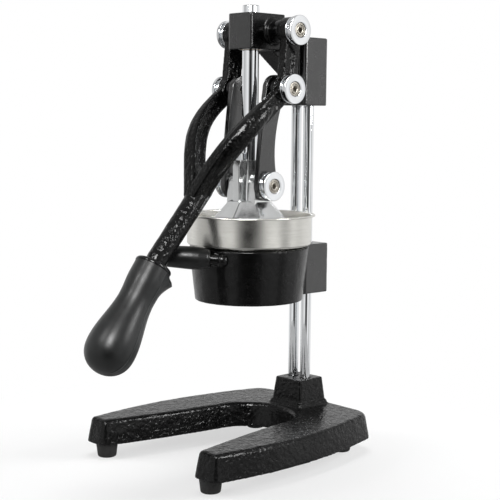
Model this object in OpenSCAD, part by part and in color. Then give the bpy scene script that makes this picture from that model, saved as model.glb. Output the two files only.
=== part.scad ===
// Hand-press citrus juicer: a cast base and two chromed columns carry a head
// and a cup holder. A forked lever turns on the head, and two links push a
// pressing bell and its guide rod straight down into the strainer.
// Millimetres. Z is up, the lever hangs at the front (-Y), the table is z = 0.

/* [Press] */
// Height of the lever's pivot on the head
top_pivot_z = 406.5; // [395:0.5:420]
// Distance of the lever's pivot behind the press axis
top_pivot_y = 15.4; // [14:0.2:18]
// Length of the lever's crank, pivot to pivot
crank_len = 54.3; // [50:0.1:56]
// Forward lean of the crank when the press is down, in degrees
crank_lean = 6.3; // [4:0.1:9]
// Height of the pivots on the pressing bell when it is down
bell_pivot_z = 262; // [258:0.5:266]
// Diameter of the guide rod
rod_d = 16; // [12:0.5:18]
// Length of the guide rod above the top of the bell
rod_len = 145; // [143:1:160]

/* [Columns] */
// Diameter of each column
column_d = 10.4; // [8:0.1:11.5]
// Distance between the columns' axes
column_pitch = 16.8; // [15:0.2:20]
// Distance of the columns behind the press axis
column_y = 71.6; // [70:0.2:75]
// Depth of the columns' sockets in the base and in the head
socket_depth = 46; // [30:1:50]

/* [Base] */
// Height of the top of the base above the table
base_top_z = 37.4; // [34:0.2:44]
// Thickness of the base casting
base_thick = 23.9; // [18:0.1:26]
// Half width of the base at its widest
base_half_w = 99.3; // [92:0.5:110]
// Half width of the base at the tips of the legs
base_tip_half_w = 91.8; // [84:0.5:100]
// Width of each leg at its tip
leg_tip_w = 23.8; // [20:0.2:30]
// Reach of the legs in front of the press axis
base_front = 123; // [110:1:140]
// Reach of the base behind the press axis
base_back = 96; // [94:1:110]
// Radius of the round end of the gap between the legs
gap_r = 46.5; // [42:0.5:48]
// How far the sides spread from the top face to the bottom face
base_draft = 4.5; // [2:0.5:6]
// Rounding of the top edge of the base
base_edge_r = 3; // [1.5:0.5:4]
// Height of the column pedestal above the base
pedestal_h = 27.1; // [20:0.5:34]
// Diameter of the top of a rubber foot
foot_top_d = 21; // [18:0.5:24]
// Diameter of the bottom of a rubber foot
foot_low_d = 18; // [15:0.5:20]

/* [Head] */
// Half width of the head's rear block and of the holder's clamp block
block_half_w = 20; // [18:0.5:21]
// Half width of the head's front block
nose_half_w = 15.7; // [14.5:0.1:17]
// Height of the front block
nose_h = 33.7; // [30:0.5:38]
// Height of the rear block
head_block_h = 65.5; // [55:0.5:72]
// Wall of the guide bush
bush_wall = 2; // [1.5:0.1:2.5]

/* [Lever] */
// Thickness of the crank plates
crank_t = 9; // [7:0.5:10]
// Depth of the crank plates, front to back
crank_w = 18; // [15:0.5:20]
// Width of a fork arm where it joins the shaft
arm_w = 13.5; // [11:0.5:15]
// Depth of a fork arm
arm_d = 19.5; // [16:0.5:21]
// Depth of the pockets in the arms
pocket_depth = 2.2; // [1:0.1:3]
// Diameter of the lever's shaft
shaft_d = 20; // [16:0.5:21]
// Length of the plastic grip
grip_len = 107; // [90:1:115]
// Largest diameter of the grip
grip_bulb_d = 46; // [38:0.5:50]
// Diameter of the grip's neck
grip_neck_d = 34; // [31:0.5:36]
// Reach of the grip's finger guard beyond the neck
guard_reach = 9; // [5:0.5:11]

/* [Pivots] */
// Diameter of a pivot cap
cap_d = 27.5; // [24:0.5:28.5]
// Thickness of a pivot cap
cap_t = 7.8; // [6:0.1:9]
// Diameter of a pivot screw's shank
pin_d = 8; // [6:0.5:9]
// Thickness of the links
link_t = 6.1; // [5:0.1:6.2]
// Diameter of a link's upper eye
link_top_eye_d = 27; // [24:0.5:27.5]
// Diameter of a link's lower eye
link_low_eye_d = 28.6; // [25:0.5:29]

/* [Cup] */
// Outer diameter of the strainer cup's band
cup_d = 120; // [116:0.5:124]
// Height of the cup's rim above the table
cup_rim_z = 234.4; // [232:0.2:238]
// Height of the band from its step to its rim
band_h = 29.4; // [26:0.2:32]
// Width of the rolled rim outside the band
rim_reach = 3.7; // [2.5:0.1:4]
// Thickness of the stainless sheet
sheet_t = 1.2; // [0.8:0.1:1.5]
// Outer diameter of the holder at its top
holder_top_d = 116; // [113:0.5:119]
// Outer diameter of the holder at its bottom
holder_low_d = 104.2; // [98:0.5:108]
// Height of the holder
holder_h = 51.5; // [45:0.5:54]
// Wall of the holder
holder_wall = 4; // [3:0.1:4.5]
// Number of juice slots round the strainer's cone
slot_count = 16; // [8:2:20]

/* [Bell] */
// Diameter of the bell's rim across its corners
bell_d = 96; // [88:0.5:98]
// Wall of the bell
bell_wall = 3.5; // [2.5:0.1:4]
// Diameter of the bell's boss round the guide rod
boss_d = 19.4; // [18.6:0.2:21]
// Height of the bell's fin and boss above its pivots
boss_rise = 24; // [21:0.5:27]

/* [Hidden] */

// Facets of round pieces, of small round pieces and of the children of a hull
$fn = 72;
small_fn = 40;
hull_fn = 32;
hex = 6;

// Clearances: a running fit, a seated fit, a side gap at a pivot, and the overrun of a cut
run_gap = 0.05;
seat_gap = 0.05;
side_gap = 0.2;
over = 1;

// Colours
black_cast = [0.06, 0.06, 0.065];
black_satin = [0.12, 0.12, 0.125];
black_gloss = [0.03, 0.03, 0.035];
chrome = [0.86, 0.87, 0.89];
steel = [0.72, 0.72, 0.7];
bright_alloy = [0.78, 0.79, 0.8];
bronze = [0.72, 0.6, 0.45];
rubber = [0.05, 0.05, 0.05];

// Pivot places, from the press axis
crank_pivot = [top_pivot_y - crank_len * sin(crank_lean), top_pivot_z - crank_len * cos(crank_lean)];
bell_pivot = [0, bell_pivot_z];

// Stack along a pivot, from the middle plane outwards
link_x = block_half_w + 2 * side_gap;
link_end_x = link_x + link_t;
fork_end_x = 43;
crank_x = fork_end_x - crank_t;
top_boss_len = 4;
top_boss_x = nose_half_w + top_boss_len;
eye_boss_t = 2.3;
top_eye_x = crank_x - eye_boss_t;
pivot_bush_wall = 2;
bush_d = pin_d + 2 * pivot_bush_wall;
eye_flare = 7;
eye_d = crank_w + eye_flare;
spacer_d = 21.5;
recess_d = 14.4;
recess_depth = 1.6;
screw_head_d = 12.6;
screw_head_h = 3.4;
socket_d = 4.2;
socket_deep = 2.4;

// Small fasteners
set_screw_d = 6;
set_socket_d = 3;
foot_screw_d = 4;
foot_screw_head_d = 8.4;
foot_screw_head_h = 2.6;
foot_screw_grip = 12;
foot_recess = 6;

// Curves through four and three control points
function curve3(a, b, c, d, t) =
    pow(1 - t, 3) * a + 3 * pow(1 - t, 2) * t * b + 3 * (1 - t) * t * t * c + pow(t, 3) * d;
function curve2(a, b, c, t) = pow(1 - t, 2) * a + 2 * (1 - t) * t * b + t * t * c;
function unit(v) = v / norm(v);
function mix(a, b, t) = a + (b - a) * t;
function smooth(t) = let (s = min(1, max(0, t))) s * s * (3 - 2 * s);
function mirrored(points) = [for (i = [len(points) - 1:-1:0]) [-points[i][0], points[i][1]]];

// Outward normals of a closed outline that runs counter-clockwise
function outline_normal(p, i) =
    let (n = len(p), d = unit(p[(i + 1) % n] - p[(i + n - 1) % n])) [d[1], -d[0]];

// Solid skinned over rings of points that run the same way round. The end faces of a
// hollow-backed outline are given as triangles of its points, clockwise from above.
module skin(rings, cap = []) {
    n = len(rings[0]);
    last = len(rings) - 1;
    low_cap = len(cap) == 0 ? [[for (j = [0:n - 1]) j]] : [for (c = cap) [c[2], c[1], c[0]]];
    top_cap = len(cap) == 0 ? [[for (j = [n - 1:-1:0]) j]] : cap;
    polyhedron(
        points = [for (ring = rings) each ring],
        faces = concat(
            low_cap,
            [for (i = [0:last - 1], j = [0:n - 1])
                each [[i * n + j, (i + 1) * n + j, (i + 1) * n + (j + 1) % n],
                      [i * n + j, (i + 1) * n + (j + 1) % n, i * n + (j + 1) % n]]],
            [for (face = top_cap) [for (j = face) last * n + j]]));
}

// Puts children on the press axis
module at_press() {
    translate([0, press_y, 0]) children();
}

// Puts children on a pivot, with their Z pointing along +X, on the right and on the left
module both_sides(pivot) {
    for (side = [0, 1])
        mirror([side, 0, 0])
            translate([0, pivot[0], pivot[1]]) rotate([90, 0, 90]) children();
}

// Disc or ring along a pivot between two distances from the middle plane
module stack_ring(x0, x1, outer, inner) {
    translate([0, 0, x0]) difference() {
        cylinder(d = outer, h = x1 - x0);
        translate([0, 0, -over]) cylinder(d = inner, h = x1 - x0 + 2 * over, $fn = small_fn);
    }
}

// Block with rounded upright edges, centred in X, from y0 to y1
module upright_block(half_w, y0, y1, h, r) {
    linear_extrude(h) hull()
        for (x = [-half_w + r, half_w - r], y = [y0 + r, y1 - r])
            translate([x, y]) circle(r, $fn = hull_fn);
}

// Set screw along +Y with a hex socket in its outer end
module set_screw(len) {
    rotate([-90, 0, 0]) difference() {
        cylinder(d = set_screw_d, h = len, $fn = small_fn);
        translate([0, 0, len - socket_deep]) cylinder(d = set_socket_d, h = socket_deep + over, $fn = hex);
    }
}

// Outline of the base's top face, right half from the gap's middle round to the back
leg_in_x = base_tip_half_w - leg_tip_w;
tip_corner = 4;
gap_y = -1;
side_end = [base_half_w * 0.81, base_back * 0.83];
corner_end = [base_half_w * 0.6, base_back * 0.985];
back_end = [base_half_w * 0.28, base_back];
gap_steps = 14;
leg_steps = 10;
side_steps = 14;
corner_steps = 6;
half_outline = concat(
    [for (i = [0:gap_steps]) let (a = 90 - 90 * i / gap_steps) [gap_r * cos(a), gap_y + gap_r * sin(a)]],
    [for (i = [1:leg_steps])
        curve2([gap_r, gap_y], [gap_r * 1.13, -base_front * 0.42],
               [leg_in_x, tip_corner - base_front], i / leg_steps)],
    [for (a = [210, 240, 270])
        [leg_in_x + tip_corner + tip_corner * cos(a), tip_corner - base_front + tip_corner * sin(a)]],
    [for (a = [270, 300, 330, 360])
        [base_tip_half_w - tip_corner + tip_corner * cos(a), tip_corner - base_front + tip_corner * sin(a)]],
    [for (i = [1:side_steps])
        curve3([base_tip_half_w, tip_corner - base_front], [base_half_w * 1.01, -base_front * 0.57],
               [base_half_w * 1.067, -base_front * 0.065], side_end, i / side_steps)],
    [for (i = [1:corner_steps])
        curve2(side_end, [base_half_w * 0.775, base_back * 0.96], corner_end, i / corner_steps)],
    [back_end]);
half_count = len(half_outline);
base_outline = concat([for (i = [1:half_count - 1]) half_outline[i]],
                      [for (p = mirrored(half_outline)) p]);

// Triangles across the outline: the gap's side is paired with the outer side, on the right and the left
function right_at(i) = i == 0 ? 2 * half_count - 2 : i - 1;
function left_at(i) = 2 * half_count - 2 - i;
base_cap = concat(
    [[right_at(0), left_at(half_count - 1), right_at(half_count - 1)]],
    [for (i = [0:floor(half_count / 2) - 1])
        let (a = i, b = i + 1, c = half_count - 2 - i, d = half_count - 1 - i)
        each concat(
            [[right_at(a), right_at(d), right_at(c)], [left_at(a), left_at(c), left_at(d)]],
            b < c ? [[right_at(a), right_at(c), right_at(b)], [left_at(a), left_at(b), left_at(c)]] : [])]);
base_low_z = base_top_z - base_thick;
foot_h = base_low_z;
// Each ring of the base: distance below the top, and how far it stands out from the top outline
base_rings = concat(
    [[base_thick, base_draft], [base_edge_r, base_draft * base_edge_r / base_thick]],
    [for (a = [30, 60, 90]) [base_edge_r * (1 - sin(a)), -base_edge_r * (1 - cos(a))]]);

// Pedestal and its foot on the base
// Half width, front and back of the pedestal at its foot and at its top
pedestal_low = [21.1, column_y - 20.4, column_y + 19.6];
pedestal_top = [17.4, column_y - 17.3, column_y + 17.2];
pedestal_r = 3;
pedestal_step_h = 4;
pedestal_step = 3.5;
pedestal_sink = 5;
pedestal_z = base_top_z + pedestal_h;

module frustum(low, top, h, r) {
    hull() {
        upright_block(low[0], low[1], low[2], over / 10, r);
        translate([0, 0, h - over / 10]) upright_block(top[0], top[1], top[2], over / 10, r);
    }
}

// Places of the four feet, from the press axis
front_foot = [base_tip_half_w - leg_tip_w * 0.66, 0.935 * -base_front];
rear_foot = [base_half_w * 0.62, base_back * 0.72];
foot_places = [for (p = [front_foot, rear_foot], side = [-1, 1]) [side * p[0], p[1]]];

module each_foot() {
    for (p = foot_places) translate([p[0], p[1], 0]) children();
}

module each_column() {
    for (x = [-column_pitch / 2, column_pitch / 2]) translate([x, column_y, 0]) children();
}

column_low_z = pedestal_z - socket_depth;
head_drop = 2.6;
head_low_z = top_pivot_z - head_drop - head_block_h;
column_top_z = head_low_z + socket_depth;

module base() {
    color(black_cast) at_press() difference() {
        union() {
            skin([for (ring = base_rings)
                [for (i = [0:len(base_outline) - 1])
                    let (p = base_outline[i] + ring[1] * outline_normal(base_outline, i))
                    [p[0], p[1], base_top_z - ring[0]]]], base_cap);
            translate([0, 0, base_top_z - pedestal_sink])
                frustum(pedestal_low, pedestal_top, pedestal_h + pedestal_sink, pedestal_r);
            translate([0, 0, base_top_z - pedestal_sink])
                frustum([for (i = [0:2]) pedestal_low[i] + pedestal_step * [1, -1, 1][i]],
                        pedestal_low, pedestal_sink + pedestal_step_h, pedestal_r);
        }
        each_column() translate([0, 0, column_low_z])
            cylinder(d = column_d + 2 * seat_gap, h = socket_depth + over);
        each_foot() translate([0, 0, base_low_z - over])
            cylinder(d = foot_screw_d, h = foot_screw_grip - foot_h + foot_recess + over, $fn = small_fn);
        each_set_screw(pedestal_set_z) set_hole(pedestal_screw_len);
    }
}

// Set screws stand behind the columns, with their outer ends just inside the block's rear face
set_inset = 0.8;
set_tip_y = column_y + column_d / 2;
pedestal_set_z = base_top_z + pedestal_h * 0.55;
pedestal_screw_len = pedestal_top[2] - set_tip_y - set_inset;
head_rear_reach = 14.4;
holder_rear_reach = 19.4;
head_rear_y = column_y + head_rear_reach;
holder_rear_y = column_y + holder_rear_reach;
head_screw_len = head_rear_y - set_tip_y - set_inset;
holder_screw_len = holder_rear_y - set_tip_y - set_inset;

module each_set_screw(z) {
    for (x = [-column_pitch / 2, column_pitch / 2]) translate([x, set_tip_y, z]) children();
}

module set_hole(len) {
    translate([0, -column_d / 4, 0]) rotate([-90, 0, 0])
        cylinder(d = set_screw_d, h = column_d / 4 + len + set_inset + pedestal_step + over, $fn = small_fn);
}

module rubber_feet() {
    color(rubber) at_press() each_foot() rotate_extrude($fn = small_fn) polygon([
        [foot_screw_d / 2, foot_recess], [foot_screw_head_d / 2 + seat_gap, foot_recess],
        [foot_screw_head_d / 2 + seat_gap, 0], [foot_low_d / 2 - foot_edge, 0],
        [foot_low_d / 2, foot_edge], [foot_top_d / 2, foot_h], [foot_screw_d / 2, foot_h]]);
}
foot_edge = 1;

module foot_screws() {
    color(steel) at_press() each_foot() {
        translate([0, 0, foot_recess - foot_screw_head_h]) difference() {
            cylinder(d = foot_screw_head_d, h = foot_screw_head_h, $fn = small_fn);
            translate([0, 0, -over]) cylinder(d = set_socket_d, h = over + foot_screw_head_h / 2, $fn = hex);
        }
        translate([0, 0, foot_recess]) cylinder(d = foot_screw_d, h = foot_screw_grip, $fn = small_fn);
    }
}

module column(side) {
    color(chrome) at_press() translate([side * column_pitch / 2, column_y, column_low_z])
        rotate_extrude() polygon([
            [0, 0], [column_d / 2 - rod_edge, 0], [column_d / 2, rod_edge],
            [column_d / 2, column_top_z - column_low_z - rod_edge],
            [column_d / 2 - rod_edge, column_top_z - column_low_z], [0, column_top_z - column_low_z]]);
}
rod_edge = 1;

module column_left() { column(-1); }
module column_right() { column(1); }

module base_set_screws() {
    color(steel) at_press() each_set_screw(pedestal_set_z) set_screw(pedestal_screw_len);
}

// Head: a rear block on the columns, a nose round the guide rod, and a web with a sloping underside
head_front_reach = 17.6;
head_block_y = column_y - head_front_reach;
head_edge_r = 3;
nose_front_y = -15.1;
nose_back_y = 31;
nose_rise = 16.9;
nose_top_z = top_pivot_z + nose_rise;
nose_low_z = nose_top_z - nose_h;
nose_edge_r = 2.5;
web_half_w = 11;
web_sink = 4;
web_drop = 27;
guide_d = rod_d + 2 * run_gap;
guide_out_d = guide_d + 2 * bush_wall;
top_boss_step = 2.5;
top_boss_d = spacer_d + top_boss_step;
blind_pin_x = 6;
head_set_z = head_low_z + head_block_h * 0.42;

module head_bracket() {
    color(black_satin) at_press() difference() {
        union() {
            translate([0, 0, head_low_z])
                upright_block(block_half_w, head_block_y, head_rear_y, head_block_h, head_edge_r);
            translate([0, 0, nose_low_z])
                upright_block(nose_half_w, nose_front_y, nose_back_y, nose_h, nose_edge_r);
            rotate([90, 0, 90]) translate([0, 0, -web_half_w]) linear_extrude(2 * web_half_w) polygon([
                [nose_back_y - nose_h * 0.4, nose_low_z], [nose_back_y - nose_h * 0.4, nose_top_z - web_sink],
                [nose_back_y, nose_top_z - web_sink], [head_block_y + web_sink, head_low_z + head_block_h],
                [head_block_y + web_sink, nose_low_z - web_drop], [head_block_y, nose_low_z - web_drop]]);
            both_sides([top_pivot_y, top_pivot_z])
                translate([0, 0, nose_half_w - web_sink]) cylinder(d = top_boss_d, h = top_boss_x - nose_half_w + web_sink);
        }
        translate([0, 0, nose_low_z - over]) cylinder(d = guide_out_d, h = nose_h + 2 * over);
        each_column() translate([0, 0, head_low_z - over])
            cylinder(d = column_d + 2 * seat_gap, h = socket_depth + over);
        both_sides([top_pivot_y, top_pivot_z])
            translate([0, 0, blind_pin_x]) cylinder(d = pin_d, h = top_boss_x, $fn = small_fn);
        each_set_screw(head_set_z) set_hole(head_screw_len);
    }
}

module head_set_screws() {
    color(steel) at_press() each_set_screw(head_set_z) set_screw(head_screw_len);
}

module guide_bush() {
    color(bronze) at_press() translate([0, 0, nose_low_z]) difference() {
        cylinder(d = guide_out_d, h = nose_h);
        translate([0, 0, -over]) cylinder(d = guide_d, h = nose_h + 2 * over);
    }
}

// Cap with a front flange, a groove and a thin back flange, and a recess for the screw's head
cap_back_t = 1.3;
cap_front_t = 3.4;
cap_groove = 3;
cap_edge = 0.8;
module cap(x) {
    translate([0, 0, x]) rotate_extrude() polygon([
        [pin_d / 2, 0], [cap_d / 2 - cap_edge, 0], [cap_d / 2 - cap_edge, cap_back_t],
        [cap_d / 2 - cap_groove, cap_back_t], [cap_d / 2 - cap_groove, cap_t - cap_front_t],
        [cap_d / 2, cap_t - cap_front_t], [cap_d / 2, cap_t - cap_edge], [cap_d / 2 - cap_edge, cap_t],
        [recess_d / 2, cap_t], [recess_d / 2, cap_t - recess_depth],
        [screw_head_d / 2, cap_t - recess_depth], [screw_head_d / 2, cap_t - screw_head_h],
        [pin_d / 2, cap_t - screw_head_h]]);
}

// Screw whose head seats in a cap at x and whose shank ends at tip_x
ring_step = 0.5;
module pivot_screw(x, tip_x) {
    head_z = x + cap_t - screw_head_h;
    difference() {
        union() {
            translate([0, 0, tip_x]) cylinder(d = pin_d, h = head_z - tip_x, $fn = small_fn);
            translate([0, 0, head_z]) rotate_extrude($fn = small_fn) polygon([
                [0, 0], [screw_head_d / 2, 0], [screw_head_d / 2, screw_head_h - recess_depth],
                [screw_head_d * 0.33, screw_head_h - recess_depth],
                [screw_head_d * 0.33, screw_head_h - recess_depth + ring_step],
                [0, screw_head_h - recess_depth + ring_step]]);
        }
        translate([0, 0, head_z + screw_head_h - socket_deep]) cylinder(d = socket_d, h = socket_deep, $fn = hex);
    }
}

top_pivot = [top_pivot_y, top_pivot_z];
top_cap_x = fork_end_x + side_gap;
crank_cap_x = fork_end_x;
lower_cap_x = link_end_x + side_gap;
crank_spacer_x = link_end_x + 1.5 * side_gap;
bell_pin_x = 8.5;

module top_spacers() {
    color(black_gloss) at_press() both_sides(top_pivot)
        stack_ring(top_boss_x, top_eye_x - side_gap, spacer_d, pin_d);
}

module top_pivot_caps() {
    color(chrome) at_press() both_sides(top_pivot) cap(top_cap_x);
}

module top_pivot_screws() {
    color(bronze) at_press() both_sides(top_pivot) pivot_screw(top_cap_x, blind_pin_x);
}

module top_pivot_bushes() {
    color(bronze) at_press() both_sides(top_pivot)
        stack_ring(top_eye_x, fork_end_x, bush_d, pin_d + 2 * run_gap);
}

// Holder: a cast bowl with a floor ring, and a block that is clamped on the columns
band_gap = 0.8;
holder_top_z = cup_rim_z - band_h - sheet_t - band_gap;
holder_low_z = holder_top_z - holder_h;
holder_floor_t = 4;
holder_mouth_d = 84;
clamp_front_reach = 24.6;
clamp_front_y = column_y - clamp_front_reach;
clamp_r = 3;
holder_set_z = holder_top_z - holder_h / 2;
funnel_d = holder_top_d - 2 * holder_wall - 2 * seat_gap;

// Brace: a cast neck that leaves the holder's front on the right and carries a small plastic grip
brace_root = [16, -52.5, -8.3];
brace_turn = -42;
brace_tilt = 4;
neck_d = 10.5;
neck_len = 20;
brace_len = 48;
brace_d = 21;
brace_tip_d = 19;
tang_d = 8;
tang_len = 30;

module at_brace() {
    translate([brace_root[0], brace_root[1], holder_top_z + brace_root[2]])
        rotate([90 - brace_tilt, 0, brace_turn]) children();
}

module cup_holder() {
    color(black_satin) at_press() difference() {
        union() {
            translate([0, 0, holder_low_z]) cylinder(d1 = holder_low_d, d2 = holder_top_d, h = holder_h);
            translate([0, 0, holder_low_z + over])
                upright_block(block_half_w, clamp_front_y, holder_rear_y, holder_h - 2 * over, clamp_r);
            at_brace() {
                translate([0, 0, -neck_d / 2]) cylinder(d = neck_d, h = neck_len + neck_d / 2, $fn = small_fn);
                cylinder(d = tang_d, h = neck_len + tang_len, $fn = small_fn);
            }
        }
        translate([0, 0, holder_low_z + holder_floor_t])
            cylinder(d1 = holder_low_d - 2 * holder_wall, d2 = funnel_d + 2 * seat_gap, h = holder_h - holder_floor_t);
        translate([0, 0, holder_top_z - over / 2]) cylinder(d = funnel_d + 2 * seat_gap, h = 2 * over);
        translate([0, 0, holder_low_z - over]) cylinder(d = holder_mouth_d, h = holder_floor_t + 2 * over);
        each_column() translate([0, 0, holder_low_z - over])
            cylinder(d = column_d + 2 * seat_gap, h = holder_h + 2 * over);
        each_set_screw(holder_set_z) set_hole(holder_screw_len);
    }
}

module holder_set_screws() {
    color(steel) at_press() each_set_screw(holder_set_z) set_screw(holder_screw_len);
}

module brace_grip() {
    color(black_satin) at_press() at_brace() translate([0, 0, neck_len]) rotate_extrude($fn = small_fn) polygon(concat(
        [[tang_d / 2, 0], [brace_d / 2 - over, 0], [brace_d / 2, over]],
        [for (a = [0:15:90]) [brace_tip_d / 2 * cos(a), brace_len - brace_tip_d * 0.3 * (1 - sin(a))]],
        [[0, tang_len + seat_gap], [tang_d / 2, tang_len + seat_gap]]));
}

// Juice funnel: a band with a rolled rim, a step on the holder's rim, and a cone down to the spout
cup_r = cup_d / 2;
step_z = cup_rim_z - band_h;
funnel_r = funnel_d / 2;
funnel_fit = 0.6;
funnel_neck_h = 14;
cone_top_z = step_z - funnel_neck_h;
function holder_in_r(z) = mix(holder_low_d / 2 - holder_wall, funnel_r + seat_gap,
                              (z - holder_low_z - holder_floor_t) / (holder_h - holder_floor_t));
waist_r = holder_in_r(cone_top_z) - funnel_fit;
spout_below = 3;
spout_above = 8;
spout_z = holder_low_z - spout_below;
spout_top_z = holder_low_z + spout_above;
spout_r = 10;

module juice_funnel() {
    color(steel) at_press() {
        rotate_extrude() polygon([
            [cup_r + rim_reach, cup_rim_z - sheet_t / 2], [cup_r + rim_reach - sheet_t / 2, cup_rim_z - sheet_t * 1.5],
            [cup_r, cup_rim_z - sheet_t], [cup_r, step_z + sheet_t], [cup_r - sheet_t, step_z],
            [funnel_r, step_z], [waist_r, cone_top_z], [spout_r, spout_top_z], [spout_r, spout_z],
            [spout_r - sheet_t, spout_z], [spout_r - sheet_t, spout_top_z + sheet_t / 2],
            [waist_r - sheet_t, cone_top_z + sheet_t / 2], [funnel_r - sheet_t, step_z + sheet_t],
            [cup_r - 2 * sheet_t, step_z + sheet_t], [cup_r - sheet_t, step_z + 2 * sheet_t],
            [cup_r - sheet_t, cup_rim_z], [cup_r + rim_reach - sheet_t / 2, cup_rim_z]]);
    }
}

// Strainer: a flange on the funnel's step, a shallow gutter and a slotted reamer cone
strainer_t = 1;
strainer_fit = 0.6;
flange_r = cup_r - 2 * sheet_t - strainer_fit;
flange_z = step_z + sheet_t + seat_gap;
gutter_depth = 6;
gutter_z = flange_z - gutter_depth;
gutter_r = funnel_r - sheet_t - 2 * strainer_fit;
cone_r = 41;
cone_rise = 1;
cone_apex_z = cup_rim_z + cone_rise;
cone_tip_r = 7;
cone_steps = 5;
slot_w = 2.2;
slot_in_r = 20;
slot_reach = 8.8;

// Point of the cone's skin, a depth below its outer face, from the gutter to the apex
function cone_at(t, depth) = curve2(
    [cone_r - depth, gutter_z + strainer_t - depth],
    [2 * cone_tip_r - depth, cone_apex_z - 0.9 * cone_tip_r - depth],
    [0, cone_apex_z - 1.2 * depth], t);

module strainer() {
    color(steel) at_press() difference() {
        rotate_extrude() polygon(concat(
            [[flange_r, flange_z], [flange_r, flange_z + strainer_t], [gutter_r - strainer_t, flange_z + strainer_t],
             [gutter_r - strainer_t, gutter_z + 2 * strainer_t], [gutter_r - 2 * strainer_t, gutter_z + strainer_t]],
            [for (i = [0:cone_steps]) cone_at(i / cone_steps, 0)],
            [for (i = [cone_steps:-1:0]) cone_at(i / cone_steps, strainer_t)],
            [[gutter_r - strainer_t, gutter_z], [gutter_r, gutter_z + strainer_t], [gutter_r, flange_z]]));
        for (i = [0:slot_count - 1]) rotate([0, 0, 360 * (i + 0.5) / slot_count])
            translate([slot_in_r, -slot_w / 2, gutter_z - over])
                cube([cone_r + slot_reach - slot_in_r, slot_w, cone_apex_z - gutter_z]);
    }
}

// Lever: crank plates, two curved arms that close to a fork, and a shaft
junction = [0, -60.5, 259];
shaft_end = [0, -116, 195];
grip_lean = 34.58;
grip_axis = [0, -sin(grip_lean), -cos(grip_lean)];
arm_start = [crank_x + crank_t / 2, crank_pivot[0], crank_pivot[1]];
arm_steps = 20;
arm_from = 0.03;
section_steps = 6;

// Arm centre line, from the crank pivot into the top of the shaft
arm_end = junction + [arm_w * 0.11, -shaft_d * 0.36, -shaft_d * 0.3];
function arm_at(t) = curve3(
    arm_start, arm_start + crank_len * [0.11, -0.893, -0.632],
    arm_end + crank_len * [0.4, 0.348, 0.917], arm_end, t);

// Section of an arm: half width, half depth and pocket depth, as points round the centre
section_shares = [[1, 0.3], [1, 0.5], [1, 0.78], [0.82, 0.94], [0.55, 1], [-0.55, 1], [-0.82, 0.94],
                  [-1, 0.78], [-1, 0.5], [-1, 0.3], [-1, -0.3], [-1, -0.5], [-1, -0.78], [-0.82, -0.94],
                  [-0.55, -1], [0.55, -1], [0.82, -0.94], [1, -0.78], [1, -0.5], [1, -0.3]];
function arm_ring(t) =
    let (p = arm_at(t),
         along = unit(arm_at(min(1, t + 0.02)) - arm_at(max(0, t - 0.02))),
         side = unit([1, 0, 0] - along[0] * along),
         front = cross(along, side),
         half_w = mix(crank_t - over, arm_w, smooth((t - 0.1) * 2)) / 2,
         half_d = mix(crank_w, arm_d, smooth(t * 2)) / 2,
         pocket = pocket_depth * smooth((t - 0.12) / 0.08) * smooth((0.86 - t) / 0.08))
    [for (s = section_shares)
        let (w = abs(s[1]) < 0.4 ? s[0] * (half_w - pocket) : s[0] * half_w)
        p + side * w + front * (s[1] * half_d)];

// Shaft section: a round that is a little flattened at the sides near the fork
shaft_sides = 20;
function shaft_ring(p, along, w, d) =
    let (side = [1, 0, 0], front = cross(along, side))
    [for (j = [0:shaft_sides - 1]) let (a = 360 * j / shaft_sides)
        p + side * (w / 2 * cos(a)) + front * (d / 2 * sin(a))];

collar_t = 5;
shaft_dir = unit(shaft_end - junction);

// The press axis lies behind the origin, which is the middle of the whole press from front to back
grip_far_y = shaft_end[1] + (collar_t + grip_len * 0.78) * grip_axis[1] - grip_bulb_d / 2;
press_y = -(base_back + base_draft + grip_far_y) / 2;
tang_in_grip = grip_len * 0.6;
grip_tang_d = 12;

// Turns Z to a direction in the YZ plane
module along_lever(dir) {
    rotate([-atan2(dir[1], dir[2]), 0, 0]) children();
}

pocket_rim = 3.2;
pocket_back = 6;
crank_dir = [0, -sin(crank_lean), -cos(crank_lean)];

module crank_plate() {
    both_sides([0, 0]) difference() {
        union() {
            translate([0, 0, crank_x]) linear_extrude(crank_t) union() {
                translate(top_pivot) circle(d = eye_d);
                translate(crank_pivot) circle(d = eye_d);
                translate(top_pivot) rotate(-90 - crank_lean) translate([0, -crank_w / 2]) square([crank_len, crank_w]);
            }
            translate([top_pivot[0], top_pivot[1], top_eye_x]) cylinder(d = eye_d, h = crank_x - top_eye_x + over);
        }
        translate([0, 0, fork_end_x - pocket_depth]) linear_extrude(pocket_depth + over)
            translate(top_pivot) rotate(-90 - crank_lean) polygon([
                [eye_d * 0.53, pocket_rim - crank_w / 2], [crank_len - eye_d * 0.53, pocket_rim - crank_w / 2],
                [crank_len - eye_d * 0.53, crank_w / 2 - pocket_back],
                [eye_d * 0.53 + pocket_back, crank_w / 2 - pocket_back]]);
        translate([top_pivot[0], top_pivot[1], top_eye_x - over])
            cylinder(d = bush_d + 2 * seat_gap, h = fork_end_x - top_eye_x + 2 * over);
        translate([crank_pivot[0], crank_pivot[1], crank_x - over])
            cylinder(d = pin_d + 2 * seat_gap, h = crank_t + 2 * over, $fn = small_fn);
    }
}

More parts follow.
